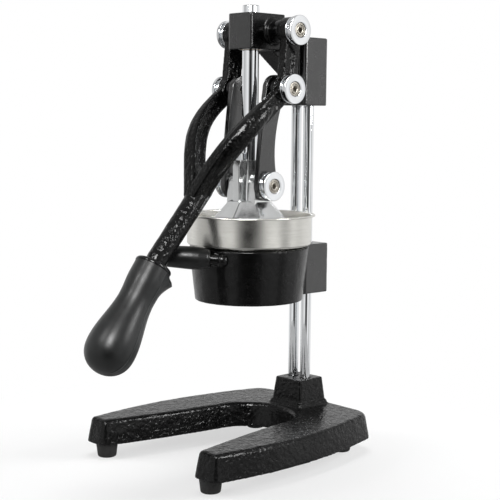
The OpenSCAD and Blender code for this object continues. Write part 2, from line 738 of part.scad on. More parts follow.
module handle_fork() {
    color(black_cast) at_press() difference() {
        union() {
            crank_plate();
            for (m = [0, 1]) mirror([m, 0, 0])
                skin([for (i = [0:arm_steps]) arm_ring(mix(arm_from, 1, i / arm_steps))]);
            skin([for (i = [0:section_steps])
                let (t = i / section_steps)
                shaft_ring(mix(junction - shaft_dir * shaft_d * 0.12, shaft_end - shaft_dir * shaft_d * 0.06, t), shaft_dir,
                           mix(shaft_d * 1.06, shaft_d * 0.97, t), mix(arm_d * 1.06, shaft_d, t))]);
            translate(shaft_end) along_lever(grip_axis) {
                translate([0, 0, -shaft_d * 0.35]) cylinder(d = shaft_d * 0.96, h = collar_t + shaft_d * 0.35);
                cylinder(d = grip_tang_d, h = tang_in_grip, $fn = small_fn);
            }
        }
        both_sides(crank_pivot) translate([0, 0, crank_x - crank_t])
            cylinder(d = pin_d + 2 * seat_gap, h = 3 * crank_t, $fn = small_fn);
        both_sides(crank_pivot) translate([0, 0, fork_end_x]) cylinder(d = cap_d + 2 * side_gap, h = crank_t);
    }
}

// Collar between the shaft and the grip
collar_d = grip_neck_d + 1;
collar_edge = 1.6;
module grip_collar() {
    color(black_gloss) at_press() translate(shaft_end) along_lever(grip_axis) rotate_extrude() polygon([
        [shaft_d * 0.48 + seat_gap, 0], [collar_d / 2 - collar_edge, 0], [collar_d / 2, collar_edge],
        [collar_d / 2, collar_t - collar_edge / 2], [collar_d / 2 - collar_edge / 2, collar_t],
        [shaft_d * 0.48 + seat_gap, collar_t]]);
}

// Grip: half widths along its length as shares of the bulb, and a finger guard at the back of its neck
grip_steps = 22;
grip_sides = 28;
neck_share = grip_neck_d / grip_bulb_d;
function grip_half(t) = grip_bulb_d / 2 * (
    t < 0.12 ? mix(neck_share, neck_share * 1.02, t / 0.12) :
    t < 0.3 ? mix(neck_share * 1.02, neck_share * 0.96, smooth((t - 0.12) / 0.18)) :
    t < 0.76 ? mix(neck_share * 0.96, 1, smooth((t - 0.3) / 0.46)) :
    sqrt(max(0, 1 - pow((t - 0.76) / 0.24, 2.4))));
function guard_at(t) = guard_reach * smooth(t / 0.08) * smooth((0.24 - t) / 0.13);
function grip_ring(t) =
    let (r = max(grip_half(t), over))
    [for (j = [0:grip_sides - 1]) let (a = 360 * j / grip_sides, lean = max(0, -sin(a)))
        [(r + guard_at(t) * pow(lean, 3)) * cos(a), (r + guard_at(t) * pow(lean, 3)) * sin(a), t * grip_len]];

module handle_grip() {
    color(black_satin) at_press() translate(shaft_end + collar_t * grip_axis) along_lever(grip_axis) difference() {
        skin([for (i = [0:grip_steps]) grip_ring(sin(90 * i / grip_steps))]);
        translate([0, 0, -over]) cylinder(d = grip_tang_d + 2 * seat_gap, h = tang_in_grip - collar_t + over + seat_gap, $fn = small_fn);
    }
}

module crank_spacers() {
    color(black_gloss) at_press() both_sides(crank_pivot)
        stack_ring(crank_spacer_x, crank_x, spacer_d, pin_d);
}

module crank_pivot_caps() {
    color(chrome) at_press() both_sides(crank_pivot) cap(crank_cap_x);
}

module crank_pivot_screws() {
    color(bronze) at_press() both_sides(crank_pivot) pivot_screw(crank_cap_x, crank_spacer_x);
}

// Link: two eyes and a web that bows forward
link_steps = 12;
link_reach = crank_pivot - bell_pivot;
function link_back(t) = curve2(crank_pivot + [link_top_eye_d * 0.46, 0], bell_pivot + [-link_low_eye_d * 0.02, norm(link_reach) * 0.42],
                               bell_pivot + [link_low_eye_d * 0.46, 0], t);
function link_front(t) = curve3(bell_pivot - [link_low_eye_d * 0.5, 0], bell_pivot + [-link_low_eye_d * 0.4, norm(link_reach) * 0.32],
                                crank_pivot - [link_top_eye_d * 0.66, norm(link_reach) * 0.26],
                                crank_pivot - [link_top_eye_d * 0.5, 0], t);

module link() {
    translate([0, 0, link_x]) difference() {
        union() {
            translate([crank_pivot[0], crank_pivot[1], 0]) cylinder(d = link_top_eye_d, h = link_t);
            translate([bell_pivot[0], bell_pivot[1], 0]) cylinder(d = link_low_eye_d, h = link_t);
            linear_extrude(link_t)
                polygon(concat([for (i = [0:link_steps]) link_back(i / link_steps)],
                               [for (i = [0:link_steps]) link_front(i / link_steps)]));
        }
        translate([bell_pivot[0], bell_pivot[1], -over])
            cylinder(d = bush_d + 2 * seat_gap, h = link_t + 2 * over, $fn = small_fn);
        translate([crank_pivot[0], crank_pivot[1], -over])
            cylinder(d = pin_d + 2 * run_gap, h = link_t + 2 * over, $fn = small_fn);
    }
}

module link_right() {
    color(black_satin) at_press() rotate([90, 0, 90]) link();
}

module link_left() {
    color(black_satin) at_press() mirror([1, 0, 0]) rotate([90, 0, 90]) link();
}

module link_bushes() {
    color(bronze) at_press() both_sides(bell_pivot)
        stack_ring(link_x, link_end_x, bush_d, pin_d + 2 * run_gap);
}

module lower_pivot_caps() {
    color(chrome) at_press() both_sides(bell_pivot) cap(lower_cap_x);
}

module lower_pivot_screws() {
    color(bronze) at_press() both_sides(bell_pivot) pivot_screw(lower_cap_x, bell_pin_x);
}

// Bell: an eight-sided hollow cone, a boss round the rod, a front fin and a cross block for the pivots
bell_sides = 8;
flat_share = cos(180 / bell_sides);
boss_top_z = bell_pivot_z + boss_rise;
cone_drop = [14, 18.8, 30.2, 46, 53];
cone_z = [for (d = cone_drop) bell_pivot_z - d];
cone_shares = [0.31, 0.47, 0.69, 1, 1];
bell_roof_drop = 23;
bell_roof_z = bell_pivot_z - bell_roof_drop;
bell_roof_share = 0.52;
fin_half_w = 4.5;
fin_front_y = -18;
fin_chamfer = 6;
fin_low_drop = 16;
fin_low_z = bell_pivot_z - fin_low_drop;
cross_front_y = -11;
cross_half_w = 19.6;
cross_top_r = 11;
rod_seat = 22;
lock_screw_y = -12.6;
lock_screw_d = 4;
lock_head_d = 7.6;
lock_head_h = 6.6;
lock_screw_len = 10;
bell_r = bell_d / 2;

module press_bell() {
    color(bright_alloy) at_press() difference() {
        union() {
            rotate([0, 0, 180 / bell_sides]) rotate_extrude($fn = bell_sides) polygon(concat(
                [[0, cone_z[4]]], [for (i = [4:-1:0]) [bell_r * cone_shares[i], cone_z[i]]], [[0, cone_z[0]]]));
            translate([0, 0, cone_z[1]]) cylinder(d = boss_d, h = boss_top_z - cone_z[1]);
            rotate([90, 0, 90]) translate([0, 0, -fin_half_w]) linear_extrude(2 * fin_half_w) polygon([
                [0, fin_low_z], [fin_front_y, fin_low_z], [fin_front_y, boss_top_z - fin_chamfer],
                [fin_front_y + fin_chamfer / 2, boss_top_z], [0, boss_top_z]]);
            rotate([90, 0, 90]) translate([0, 0, -cross_half_w]) linear_extrude(2 * cross_half_w) union() {
                translate(bell_pivot) circle(r = cross_top_r);
                polygon([[-cross_top_r, bell_pivot_z], [cross_front_y - over, cone_z[1]],
                         [cross_top_r + over, cone_z[1]], [cross_top_r, bell_pivot_z]]);
            }
        }
        rotate_extrude() polygon([
            [0, cone_z[4] - over], [bell_r * flat_share - bell_wall, cone_z[4] - over],
            [bell_r * flat_share - bell_wall, cone_z[3]],
            [bell_r * cone_shares[2] * flat_share - bell_wall, cone_z[2] - bell_wall / 2],
            [bell_r * bell_roof_share * flat_share - bell_wall, bell_roof_z],
            [0, bell_roof_z]]);
        translate([0, 0, boss_top_z - rod_seat]) cylinder(d = rod_d + 2 * seat_gap, h = rod_seat + over);
        both_sides(bell_pivot) translate([0, 0, bell_pin_x]) cylinder(d = pin_d, h = cross_half_w, $fn = small_fn);
        translate([0, lock_screw_y, boss_top_z - lock_screw_len])
            cylinder(d = lock_screw_d, h = lock_screw_len + over, $fn = small_fn);
    }
}

module guide_rod() {
    top_z = boss_top_z + rod_len;
    color(chrome) at_press() rotate_extrude() polygon([
        [0, boss_top_z - rod_seat], [rod_d / 2, boss_top_z - rod_seat],
        [rod_d / 2, top_z - rod_edge * 1.5], [rod_d / 2 - rod_edge * 1.5, top_z], [0, top_z]]);
}

module rod_lock_screw() {
    color(chrome) at_press() translate([0, lock_screw_y, boss_top_z - lock_screw_len]) {
        cylinder(d = lock_screw_d, h = lock_screw_len, $fn = small_fn);
        translate([0, 0, lock_screw_len]) cylinder(d = lock_head_d, h = lock_head_h, $fn = hex);
    }
}

base();
rubber_feet();
foot_screws();
column_left();
column_right();
base_set_screws();
head_bracket();
head_set_screws();
guide_bush();
top_spacers();
top_pivot_caps();
top_pivot_screws();
top_pivot_bushes();
cup_holder();
holder_set_screws();
brace_grip();
juice_funnel();
strainer();
handle_fork();
grip_collar();
handle_grip();
crank_spacers();
crank_pivot_caps();
crank_pivot_screws();
link_left();
link_right();
link_bushes();
lower_pivot_caps();
lower_pivot_screws();
press_bell();
guide_rod();
rod_lock_screw();
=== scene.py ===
# %% [markdown]
# # A hand-press citrus juicer
#
# This file dresses a finished mechanical model. The model gives every piece its real size, its
# place and its motion, and the file gives it the surface that a camera sees: rounded cast edges,
# enamel, chrome and brushed steel. It reads from top to bottom like a lesson. Each text cell says
# what a piece is on the real juicer and why it is made the way it is. The code cell after it makes it.

# %% Tools and units
import math

import bpy
import bmesh
from mathutils import Matrix, Vector, noise


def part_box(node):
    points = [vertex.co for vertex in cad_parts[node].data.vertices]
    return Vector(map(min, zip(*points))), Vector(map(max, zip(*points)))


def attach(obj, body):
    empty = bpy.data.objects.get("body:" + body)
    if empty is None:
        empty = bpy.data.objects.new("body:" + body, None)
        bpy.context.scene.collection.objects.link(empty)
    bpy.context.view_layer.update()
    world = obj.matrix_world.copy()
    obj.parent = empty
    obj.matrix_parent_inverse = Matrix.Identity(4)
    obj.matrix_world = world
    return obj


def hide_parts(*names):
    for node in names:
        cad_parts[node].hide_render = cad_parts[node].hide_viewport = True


mm = 0.001


def linked(name, data):
    """New object in the scene."""
    obj = bpy.data.objects.new(name, data)
    bpy.context.scene.collection.objects.link(obj)
    return obj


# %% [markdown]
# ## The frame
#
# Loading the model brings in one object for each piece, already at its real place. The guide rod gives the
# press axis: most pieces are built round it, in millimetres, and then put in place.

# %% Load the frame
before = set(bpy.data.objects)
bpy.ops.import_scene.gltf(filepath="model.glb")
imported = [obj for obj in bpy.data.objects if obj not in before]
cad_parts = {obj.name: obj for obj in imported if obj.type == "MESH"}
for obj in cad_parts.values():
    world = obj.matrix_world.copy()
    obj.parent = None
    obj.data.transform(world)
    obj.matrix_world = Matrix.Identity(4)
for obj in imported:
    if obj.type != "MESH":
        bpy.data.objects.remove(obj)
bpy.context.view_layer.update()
rod_low, rod_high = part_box("guide_rod")
press_y = (rod_low.y + rod_high.y) / 2
print("pieces:", len(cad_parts), "press axis at y =", round(press_y, 5))

# %% [markdown]
# ## The camera
#
# The photograph was taken from the right front, a little above the middle of the juicer. A camera
# fitted to the picture gives a place, three angles and a lens, and they are typed here as found.
# The small upward shift keeps the whole juicer in the square picture.

# %% Camera at the photograph's angle
camera_place = Vector((832.9, -779.9, 322.5)) * mm + Vector((0, press_y, 0))
camera_turn = math.radians(46.818)
camera_pitch = math.radians(7.345)
camera_roll = math.radians(0.472)
camera_compass = math.atan2(-math.cos(camera_turn), math.sin(camera_turn))
camera_lens = 85.4
camera_shift = (-0.0003, 0.0485)


def camera_axes(turn, pitch, roll):
    forward = Vector((-math.sin(turn) * math.cos(pitch), math.cos(turn) * math.cos(pitch), -math.sin(pitch)))
    level = Vector((math.cos(turn), math.sin(turn), 0))
    above = level.cross(forward)
    right = level * math.cos(roll) + above * math.sin(roll)
    return right, right.cross(forward), -forward


def add_camera():
    data = bpy.data.cameras.new("camera")
    data.sensor_width = 36
    data.lens = camera_lens
    data.shift_x, data.shift_y = camera_shift
    data.clip_start = 10 * mm
    camera = linked("camera", data)
    turn = Matrix(camera_axes(camera_turn, camera_pitch, camera_roll)).transposed()
    camera.matrix_world = Matrix.Translation(camera_place) @ turn.to_4x4()
    return camera


bpy.context.scene.camera = add_camera()
print("camera at", [round(c, 4) for c in camera_place])

# %% [markdown]
# ## Node helpers
#
# Every finish is a small graph of nodes. These helpers keep the graphs readable: one fills a
# socket with either a value or another node's output, one adds a node and fills its sockets by
# name, and one starts a material with its main shader.

# %% Nodes and sockets
def connect(tree, value, socket):
    if isinstance(value, bpy.types.NodeSocket):
        tree.links.new(value, socket)
    else:
        socket.default_value = value


def add_node(tree, kind, settings=(), **sockets):
    node = tree.nodes.new(kind)
    for name, value in dict(settings).items():
        setattr(node, name, value)
    for name, value in sockets.items():
        connect(tree, value, node.inputs[name.replace("_", " ")])
    return node


def math_node(tree, operation, a, b):
    node = add_node(tree, "ShaderNodeMath", {"operation": operation})
    connect(tree, a, node.inputs[0])
    connect(tree, b, node.inputs[1])
    return node.outputs[0]


def length_of(tree, vector):
    node = add_node(tree, "ShaderNodeVectorMath", {"operation": "LENGTH"})
    connect(tree, vector, node.inputs[0])
    return node.outputs["Value"]


def object_place(tree):
    return add_node(tree, "ShaderNodeTexCoord").outputs["Object"]


def mix_of(tree, kind, share, first, second):
    """Mix node of one data type. Each type has its own sockets on the node."""
    node = add_node(tree, "ShaderNodeMix", {"data_type": kind})
    rank = ("FLOAT", "VECTOR", "RGBA").index(kind)
    for socket, value in ((0, share), (2 * rank + 2, first), (2 * rank + 3, second)):
        connect(tree, value, node.inputs[socket])
    return node.outputs[rank]


def mix_shaders(tree, share, plain, other):
    """Shows the plain shader where share is 0 and the other one where it is 1."""
    mix = add_node(tree, "ShaderNodeMixShader", Fac=share)
    tree.links.new(plain.outputs[0], mix.inputs[1])
    tree.links.new(other.outputs[0], mix.inputs[2])
    tree.links.new(mix.outputs[0], tree.nodes["Material Output"].inputs["Surface"])


def new_finish(name, **sockets):
    material = bpy.data.materials.new(name)
    material.use_nodes = True
    tree = material.node_tree
    shader = tree.nodes["Principled BSDF"]
    for socket, value in sockets.items():
        shader.inputs[socket.replace("_", " ")].default_value = value
    return material, tree, shader


# %% [markdown]
# No real surface has one colour or one gloss. A slow noise lets the colour drift between two
# shades, a second one does the same for the roughness, and a fine one bends the light as relief.

# %% Noise, colour and relief
def grain(tree, size, detail=2.0, stretch=None):
    """Noise whose grains are about size metres across, in the object's own space."""
    place = object_place(tree)
    if stretch:
        place = add_node(tree, "ShaderNodeMapping", Vector=place, Scale=stretch).outputs["Vector"]
    return add_node(tree, "ShaderNodeTexNoise", Vector=place, Scale=1 / size, Detail=detail).outputs["Fac"]


def spread(tree, value, low, high, start=0.3, end=0.7, **settings):
    """Maps the range from start to end, by default the middle of a noise, onto low to high."""
    return add_node(tree, "ShaderNodeMapRange", settings, Value=value, From_Min=start, From_Max=end,
                    To_Min=low, To_Max=high).outputs["Result"]


def tint(tree, value, dark, light):
    """Blend of two colours. A single number stands for a grey."""
    shades = [shade if isinstance(shade, tuple) else (shade, shade, shade) for shade in (dark, light)]
    return mix_of(tree, "RGBA", value, *[(*shade, 1) for shade in shades])


def relief(tree, height, distance, strength=1.0, under=None):
    bump = add_node(tree, "ShaderNodeBump", Height=height, Distance=distance, Strength=strength)
    if under:
        tree.links.new(under, bump.inputs["Normal"])
    return bump.outputs["Normal"]


def drive(tree, shader, colour, roughness, normal):
    """Feeds the three sockets that every finish here drives with nodes."""
    tree.links.new(colour, shader.inputs["Base Color"])
    tree.links.new(roughness, shader.inputs["Roughness"])
    tree.links.new(normal, shader.inputs["Normal"])


def even_finish(name, shades, cloud, rough, patch, bump, depth, strength=0.5, **sockets):
    """Finish from three noises: cloud for the shades, patch for the roughness, bump for the relief.

    Each noise is a size in metres, a detail and, if needed, a stretch.
    """
    material, tree, shader = new_finish(name, **sockets)
    drive(tree, shader, tint(tree, grain(tree, *cloud), *shades), spread(tree, grain(tree, *patch), *rough),
          relief(tree, grain(tree, *bump), depth, strength))
    return material


# %% [markdown]
# ## Finishes
#
# The base and the lever are iron castings under a thick enamel that dries in small hard ripples.
# A smooth cell pattern gives the ripples, a noise bends the cells out of line, and a finer noise
# breaks them up. The paint itself is nearly a mirror, so each ripple throws its own white spark.

# %% Rippled enamel of the base and the lever
ripple_size = 3.6 * mm
ripple_depth = 1.0 * mm
ripple_bend_size = 7 * mm
ripple_bend = 0.008
wrinkle_size = 2.0 * mm
wrinkle_depth = 0.2 * mm


def rippled_enamel():
    material, tree, shader = new_finish("rippled_enamel", Coat_Weight=0.1, Coat_Roughness=0.06,
                                        Specular_IOR_Level=0.17)
    place = object_place(tree)
    bend = add_node(tree, "ShaderNodeTexNoise", Vector=place, Scale=1 / ripple_bend_size, Detail=2.0)
    shifted = mix_of(tree, "VECTOR", ripple_bend, place, bend.outputs["Color"])
    cells = add_node(tree, "ShaderNodeTexVoronoi", {"feature": "SMOOTH_F1"}, Vector=shifted,
                     Scale=1 / ripple_size, Smoothness=0.7)
    ripples = relief(tree, cells.outputs["Distance"], ripple_depth, 0.6)
    drive(tree, shader, tint(tree, grain(tree, 22 * mm, 3.0), 0.003, 0.009),
          spread(tree, grain(tree, 6 * mm, 3.0), 0.14, 0.30),
          relief(tree, grain(tree, wrinkle_size), wrinkle_depth, 0.6, ripples))
    return material


finish = {"rippled": rippled_enamel()}
print("first finish:", finish["rippled"].name)

# %% [markdown]
# The head, the links and the cup holder wear a thinner satin enamel over a smoother casting. Its
# body is nearly black, and its surface gives a strong but wide reflection: a face turned to the
# bright wall looks grey and one turned away looks black. Only a faint orange-peel relief remains.
#
# On the head and the holder a second shader paints shade. It is a darker copy of the paint with a weaker but
# sharper reflection, and it shows between two depths and fades out over a fraction of a millimetre. It keeps
# the nose's sides and the holder's ring black, while the nose's front face, the head's rear block and the
# holder's clamp stay grey.

# %% Satin enamel
# Depths, in metres, between which the head and the holder get painted shade, and the width of its fade.
shade_fade = 0.8 * mm
nose_shade_depths = (press_y - 14.9 * mm, press_y + 54.0 * mm)
holder_shade_depths = (press_y - 70 * mm, press_y + 60 * mm)


def satin_enamel(name="satin_enamel", shaded_depths=None):
    """Satin paint. Between the two depths of shaded_depths, in metres, a darker copy with a weaker reflection
    paints shade.
    """
    material, tree, shader = new_finish(name, Specular_IOR_Level=0.85, Coat_Weight=0.3, Coat_Roughness=0.2)
    cloud = grain(tree, 16 * mm, 4.0)
    patch = grain(tree, 9 * mm, 3.0)
    wide = relief(tree, grain(tree, 7 * mm, 1.0), 0.25 * mm, 0.35)
    drive(tree, shader, tint(tree, cloud, 0.006, 0.012), spread(tree, patch, 0.20, 0.28),
          relief(tree, grain(tree, 1.6 * mm, 1.0), 0.04 * mm, 0.3, wide))
    if shaded_depths:
        # Painted shade: a darker copy of the paint with a weaker, sharper reflection.
        shaded_copy = add_node(tree, "ShaderNodeBsdfPrincipled", Specular_IOR_Level=0.22, Coat_Weight=0.12,
                         Coat_Roughness=0.06)
        drive(tree, shaded_copy, tint(tree, cloud, 0.003, 0.007), spread(tree, patch, 0.20, 0.30), wide)
        depth = add_node(tree, "ShaderNodeSeparateXYZ", Vector=object_place(tree)).outputs["Y"]
        start, end = shaded_depths
        after = spread(tree, depth, 0.0, 1.0, start, start + shade_fade)
        before = spread(tree, depth, 1.0, 0.0, end - shade_fade, end)
        mix_shaders(tree, math_node(tree, "MULTIPLY", after, before), shader, shaded_copy)
    return material


finish["satin"] = satin_enamel()
finish["head"] = satin_enamel("head_enamel", nose_shade_depths)
finish["holder"] = satin_enamel("holder_enamel", holder_shade_depths)
print("satin finishes:", [finish[key].name for key in ("satin", "head", "holder")])

# %% [markdown]
# The spacers and the collar have a plain gloss enamel. The grips are moulded plastic, whose flow
# marks run along the grip, and the feet are dull rubber with a fine tooth.

# %% Gloss enamel, plastic and rubber
finish["gloss"] = even_finish(
    "gloss_enamel", shades=((0.006, 0.006, 0.007), 0.014), cloud=(9 * mm,), rough=(0.10, 0.20),
    patch=(5 * mm,), bump=(3 * mm, 1.0), depth=0.06 * mm, Coat_Weight=0.25, Coat_Roughness=0.04,
    Specular_IOR_Level=0.2)
finish["plastic"] = even_finish(
    "moulded_plastic", shades=((0.018, 0.019, 0.019), (0.030, 0.031, 0.031)),
    cloud=(30 * mm, 2.0, (1.0, 1.0, 0.35)), rough=(0.30, 0.42), patch=(8 * mm, 3.0),
    bump=(0.7 * mm, 2.0), depth=0.03 * mm, Specular_IOR_Level=0.28)
finish["rubber"] = even_finish(
    "foot_rubber", shades=(0.010, (0.022, 0.022, 0.021)), cloud=(5 * mm, 3.0), rough=(0.62, 0.82),
    patch=(2 * mm, 3.0), bump=(0.6 * mm, 2.0), depth=0.05 * mm, strength=0.6)
print("moulded finishes:", finish["plastic"].name, finish["rubber"].name)

# %% [markdown]
# Chrome is almost all reflection: a bright colour, no diffuse light and very little roughness. A
# perfect mirror looks false, so faint smudges lift the roughness and a slow, shallow relief bends
# the reflections as plating does. The bell is cast aluminium, polished by hand, so its mirror is
# softer and has a second, finer wave.

# %% Bright metals
def polished_aluminium():
    material, tree, shader = new_finish("cast_aluminium", Metallic=1.0)
    wave = relief(tree, grain(tree, 8 * mm, 1.0), 0.04 * mm, 0.3)
    drive(tree, shader, tint(tree, grain(tree, 10 * mm, 4.0), (0.76, 0.77, 0.77), (0.88, 0.89, 0.89)),
          spread(tree, grain(tree, 5 * mm, 4.0), 0.15, 0.26),
          relief(tree, grain(tree, 1.5 * mm), 0.006 * mm, 0.4, wave))
    return material


finish["chrome"] = even_finish(
    "bright_chrome", shades=((0.80, 0.82, 0.84), (0.92, 0.93, 0.94)), cloud=(12 * mm, 4.0),
    rough=(0.03, 0.10), patch=(7 * mm, 4.0), bump=(14 * mm, 1.0), depth=0.02 * mm, strength=0.3,
    Metallic=1.0)
finish["aluminium"] = polished_aluminium()
print("bright metals:", finish["chrome"].name, finish["aluminium"].name)

# %% [markdown]
# The stainless cup is brushed round and round, so its scratches are long threads that follow the
# wall. Turning the place into an angle and a height, and stretching the noise along the angle,
# lays the threads the right way at any radius. The threads also pull each reflection out into a
# tall streak, and the shader's anisotropy does that, round the same axis.

# %% Brushed stainless steel
thread_w = 0.35 * mm
thread_stretch = 3.0


def brushed_stainless():
    material, tree, shader = new_finish("brushed_stainless", Metallic=1.0, Anisotropic=0.8)
    split = add_node(tree, "ShaderNodeSeparateXYZ", Vector=object_place(tree))
    depth = math_node(tree, "SUBTRACT", split.outputs["Y"], press_y)
    angle = math_node(tree, "ARCTAN2", depth, split.outputs["X"])
    flat = add_node(tree, "ShaderNodeCombineXYZ", X=split.outputs["X"], Y=depth)
    radius = length_of(tree, flat.outputs[0])
    unrolled = add_node(tree, "ShaderNodeCombineXYZ", X=angle, Y=radius, Z=split.outputs["Z"])
    threads = add_node(tree, "ShaderNodeMapping", Vector=unrolled.outputs[0],
                       Scale=(thread_stretch, 1 / thread_w, 1 / thread_w))
    scratch = add_node(tree, "ShaderNodeTexNoise", Vector=threads.outputs[0], Scale=1.0, Detail=4.0)
    scratch = scratch.outputs["Fac"]
    drive(tree, shader, tint(tree, scratch, (0.62, 0.61, 0.57), (0.80, 0.79, 0.75)),
          spread(tree, grain(tree, 18 * mm, 4.0), 0.15, 0.25), relief(tree, scratch, 0.02 * mm, 0.5))
    round_axis = add_node(tree, "ShaderNodeTangent", {"direction_type": "RADIAL", "axis": "Z"})
    tree.links.new(round_axis.outputs[0], shader.inputs["Tangent"])
    return material


finish["stainless"] = brushed_stainless()
print("brushed metal:", finish["stainless"].name)

# %% [markdown]
# The screw heads inside the caps are a warm, turned metal, and the hidden screws and bushes are
# plain zinc and bronze. They still get their own small variation, because the juicer is looked at
# from all sides.

# %% Fastener metals
def small_metal(name, dark, light, rough, size):
    return even_finish(name, (dark, light), (size * 3, 3.0), rough, (size, 3.0), (size / 3, 2.0), 0.02 * mm,
                       Metallic=1.0)


finish["screw"] = small_metal("turned_screw_head", (0.33, 0.31, 0.27), (0.45, 0.42, 0.37), (0.32, 0.44),
                              2 * mm)
finish["bronze"] = small_metal("bearing_bronze", (0.42, 0.30, 0.16), (0.58, 0.44, 0.26), (0.28, 0.42),
                               2 * mm)
finish["zinc"] = small_metal("zinc_steel", (0.34, 0.35, 0.37), (0.52, 0.53, 0.54), (0.30, 0.46), 1.5 * mm)
print("finishes:", sorted(finish))

# %% [markdown]
# ## Mesh helpers
#
# Nearly every piece is a skin over a run of loops. A loop of points is round, or has flat sides
# where a corner count is given, and quads join each loop to the next. A very small last loop
# closes a piece to a point.

# %% Loops and skins
def mesh_object(name, verts, faces, material, smooth_angle=math.radians(35)):
    mesh = bpy.data.meshes.new(name)
    mesh.from_pydata([tuple(v) for v in verts], [], faces)
    work = bmesh.new()
    work.from_mesh(mesh)
    bmesh.ops.remove_doubles(work, verts=work.verts, dist=0.001 * mm)
    bmesh.ops.recalc_face_normals(work, faces=work.faces)
    work.to_mesh(mesh)
    work.free()
    mesh.materials.append(material)
    mesh.shade_smooth()
    mesh.set_sharp_from_angle(angle=smooth_angle)
    return linked(name, mesh)


def ring_faces(rings, sides, closed):
    """Quads between rings that follow each other, and round to the first ring if closed."""
    faces = []
    for i in range(rings if closed else rings - 1):
        a, b = i * sides, (i + 1) % rings * sides
        for j in range(sides):
            k = (j + 1) % sides
            faces.append((a + j, a + k, b + k, b + j))
    return faces


def loop(radius, height, corners=0, sides=96):
    """Points of one loop in mm. With corners, radius is the distance to a flat side."""
    points = []
    for j in range(sides):
        a = 2 * math.pi * j / sides
        r = radius
        if corners:
            half = math.pi / corners
            r = radius / math.cos(a % (2 * half) - half)
        points.append(Vector((r * math.cos(a), r * math.sin(a), height)))
    return points


def skin(name, loops, place, material, closed=False, smooth_angle=math.radians(35)):
    verts = [place @ point for points in loops for point in points]
    return mesh_object(name, verts, ring_faces(len(loops), len(loops[0]), closed), material, smooth_angle)


# %% [markdown]
# Turned pieces, such as caps, rods and bowls, come from a lathe: a profile of radius and height
# pairs is spun round an axis. A sharp corner on a real turned piece is always slightly broken, and
# that thin bevel is what catches the light, so `soften` replaces each corner with a short curve.

# %% Lathe and corner rounding
def soften(points, radius, steps=3):
    """Points of an open profile with every inner corner rounded by about radius."""
    kept = [Vector(points[0])]
    for before, corner, after in zip(points, points[1:], points[2:]):
        before, corner, after = Vector(before), Vector(corner), Vector(after)
        back = (before - corner).normalized() * min(radius, (before - corner).length * 0.45)
        ahead = (after - corner).normalized() * min(radius, (after - corner).length * 0.45)
        for i in range(steps + 1):
            t = i / steps
            kept.append(corner + back * (1 - t) ** 2 + ahead * t ** 2)
    kept.append(Vector(points[-1]))
    return kept


def lathe(name, profile, place, material, corner=0.4, sides=96, closed=False):
    """Spins a profile of (radius, height) pairs in mm round the Z axis of a placing matrix."""
    if closed:
        profile = list(profile) + [profile[0], profile[1]]
    points = soften(profile, corner)
    if closed:
        points = points[1:-1]
    return skin(name, [loop(r, h, sides=sides) for r, h in points], place, material, closed)


# %% [markdown]
# A placing matrix turns millimetres into metres and puts the piece where it belongs. Every finished piece is
# then tied to the body it moves with and takes the place of its plain solid where it has one.

# %% Place and fit
def upright(y=None, z=0.0, x=0.0):
    """Placing matrix in mm for a piece that stands on the press axis, or at a given place in metres."""
    return Matrix.Translation((x, press_y if y is None else y, z)) @ Matrix.Scale(mm, 4)


def along(origin, direction):
    """Placing matrix in mm whose Z axis runs along a direction from a point in metres."""
    turn = Vector(direction).to_track_quat("Z", "Y").to_matrix().to_4x4()
    return Matrix.Translation(origin) @ turn @ Matrix.Scale(mm, 4)


def merged(name, pieces):
    """Joins pieces that lie at the origin into one, with the first one's material."""
    work = bmesh.new()
    for piece in pieces:
        work.from_mesh(piece.data)
    mesh = bpy.data.meshes.new(name)
    work.to_mesh(mesh)
    work.free()
    mesh.materials.append(pieces[0].data.materials[0])
    for piece in pieces:
        bpy.data.objects.remove(piece)
    return linked(name, mesh)


def fit(piece, body, slot, *nodes):
    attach(piece, body)
    if nodes:
        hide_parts(*nodes)
    print(piece.name, len(piece.data.polygons), "faces")
    return piece


# %% [markdown]
# ## Castings
#
# The base, the lever, the head and the cup holder are poured in sand moulds. Their corners are
# never sharp, and where two forms meet there is a fillet. Modelling each fillet by hand would take
# long, so each casting is grown from its own plain solid: a voxel remesh turns the solid into one
# even skin, a smoothing pass rounds every corner by about the same radius, and a slow noise pushes
# the skin in and out as a sand mould does. Extra forms can be laid over the solid before it grows.

# %% Grow a casting from its solid
def applied_mesh(obj):
    """Replaces an object's mesh with what its modifiers make of it."""
    graph = bpy.context.evaluated_depsgraph_get()
    finished = bpy.data.meshes.new_from_object(obj.evaluated_get(graph))
    obj.modifiers.clear()
    obj.data = finished
    return obj


def with_extras(mesh, extras):
    forms = bmesh.new()
    forms.from_mesh(mesh)
    for extra in extras:
        forms.from_mesh(extra.data)
        bpy.data.objects.remove(extra)
    forms.to_mesh(mesh)
    forms.free()
    return mesh


def casting(node, material, voxel, rounds, wave, wave_size=9.0, extras=()):
    """Casting grown from a solid and extra forms. Voxel, wave and wave_size are in mm."""
    obj = linked(node + "_casting", with_extras(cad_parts[node].data.copy(), extras))
    remesh = obj.modifiers.new("remesh", "REMESH")
    remesh.mode = "VOXEL"
    remesh.voxel_size = voxel * mm
    soft = obj.modifiers.new("soft", "SMOOTH")
    soft.factor = 0.5
    soft.iterations = rounds
    applied_mesh(obj)
    size = wave_size * mm
    normals = [vertex.normal.copy() for vertex in obj.data.vertices]
    for vertex, normal in zip(obj.data.vertices, normals):
        push = noise.noise(vertex.co / size) + 0.5 * noise.noise(vertex.co / (size * 0.4))
        vertex.co += normal * (push * wave * mm)
    obj.data.materials.clear()
    obj.data.materials.append(material)
    obj.data.shade_smooth()
    return obj


# %% [markdown]
# The base carries all the weight: a U on four rubber feet, open at the front so that a glass can
# stand under the spout, with a tapered block at the back that holds the columns.

# %% Base
fit(casting("base", finish["rippled"], voxel=0.9, rounds=3, wave=0.16), "frame", "cast_base", "base")

# %% [markdown]
# The lever is one forked casting, and its two arms run along a curve in space. The solid has a
# sunk pocket on both sides of each arm. On the outer side the real arm is full and crowned, so a
# cover is laid over that pocket: half an oval that follows the arm's curve and closes to a point
# at both ends.

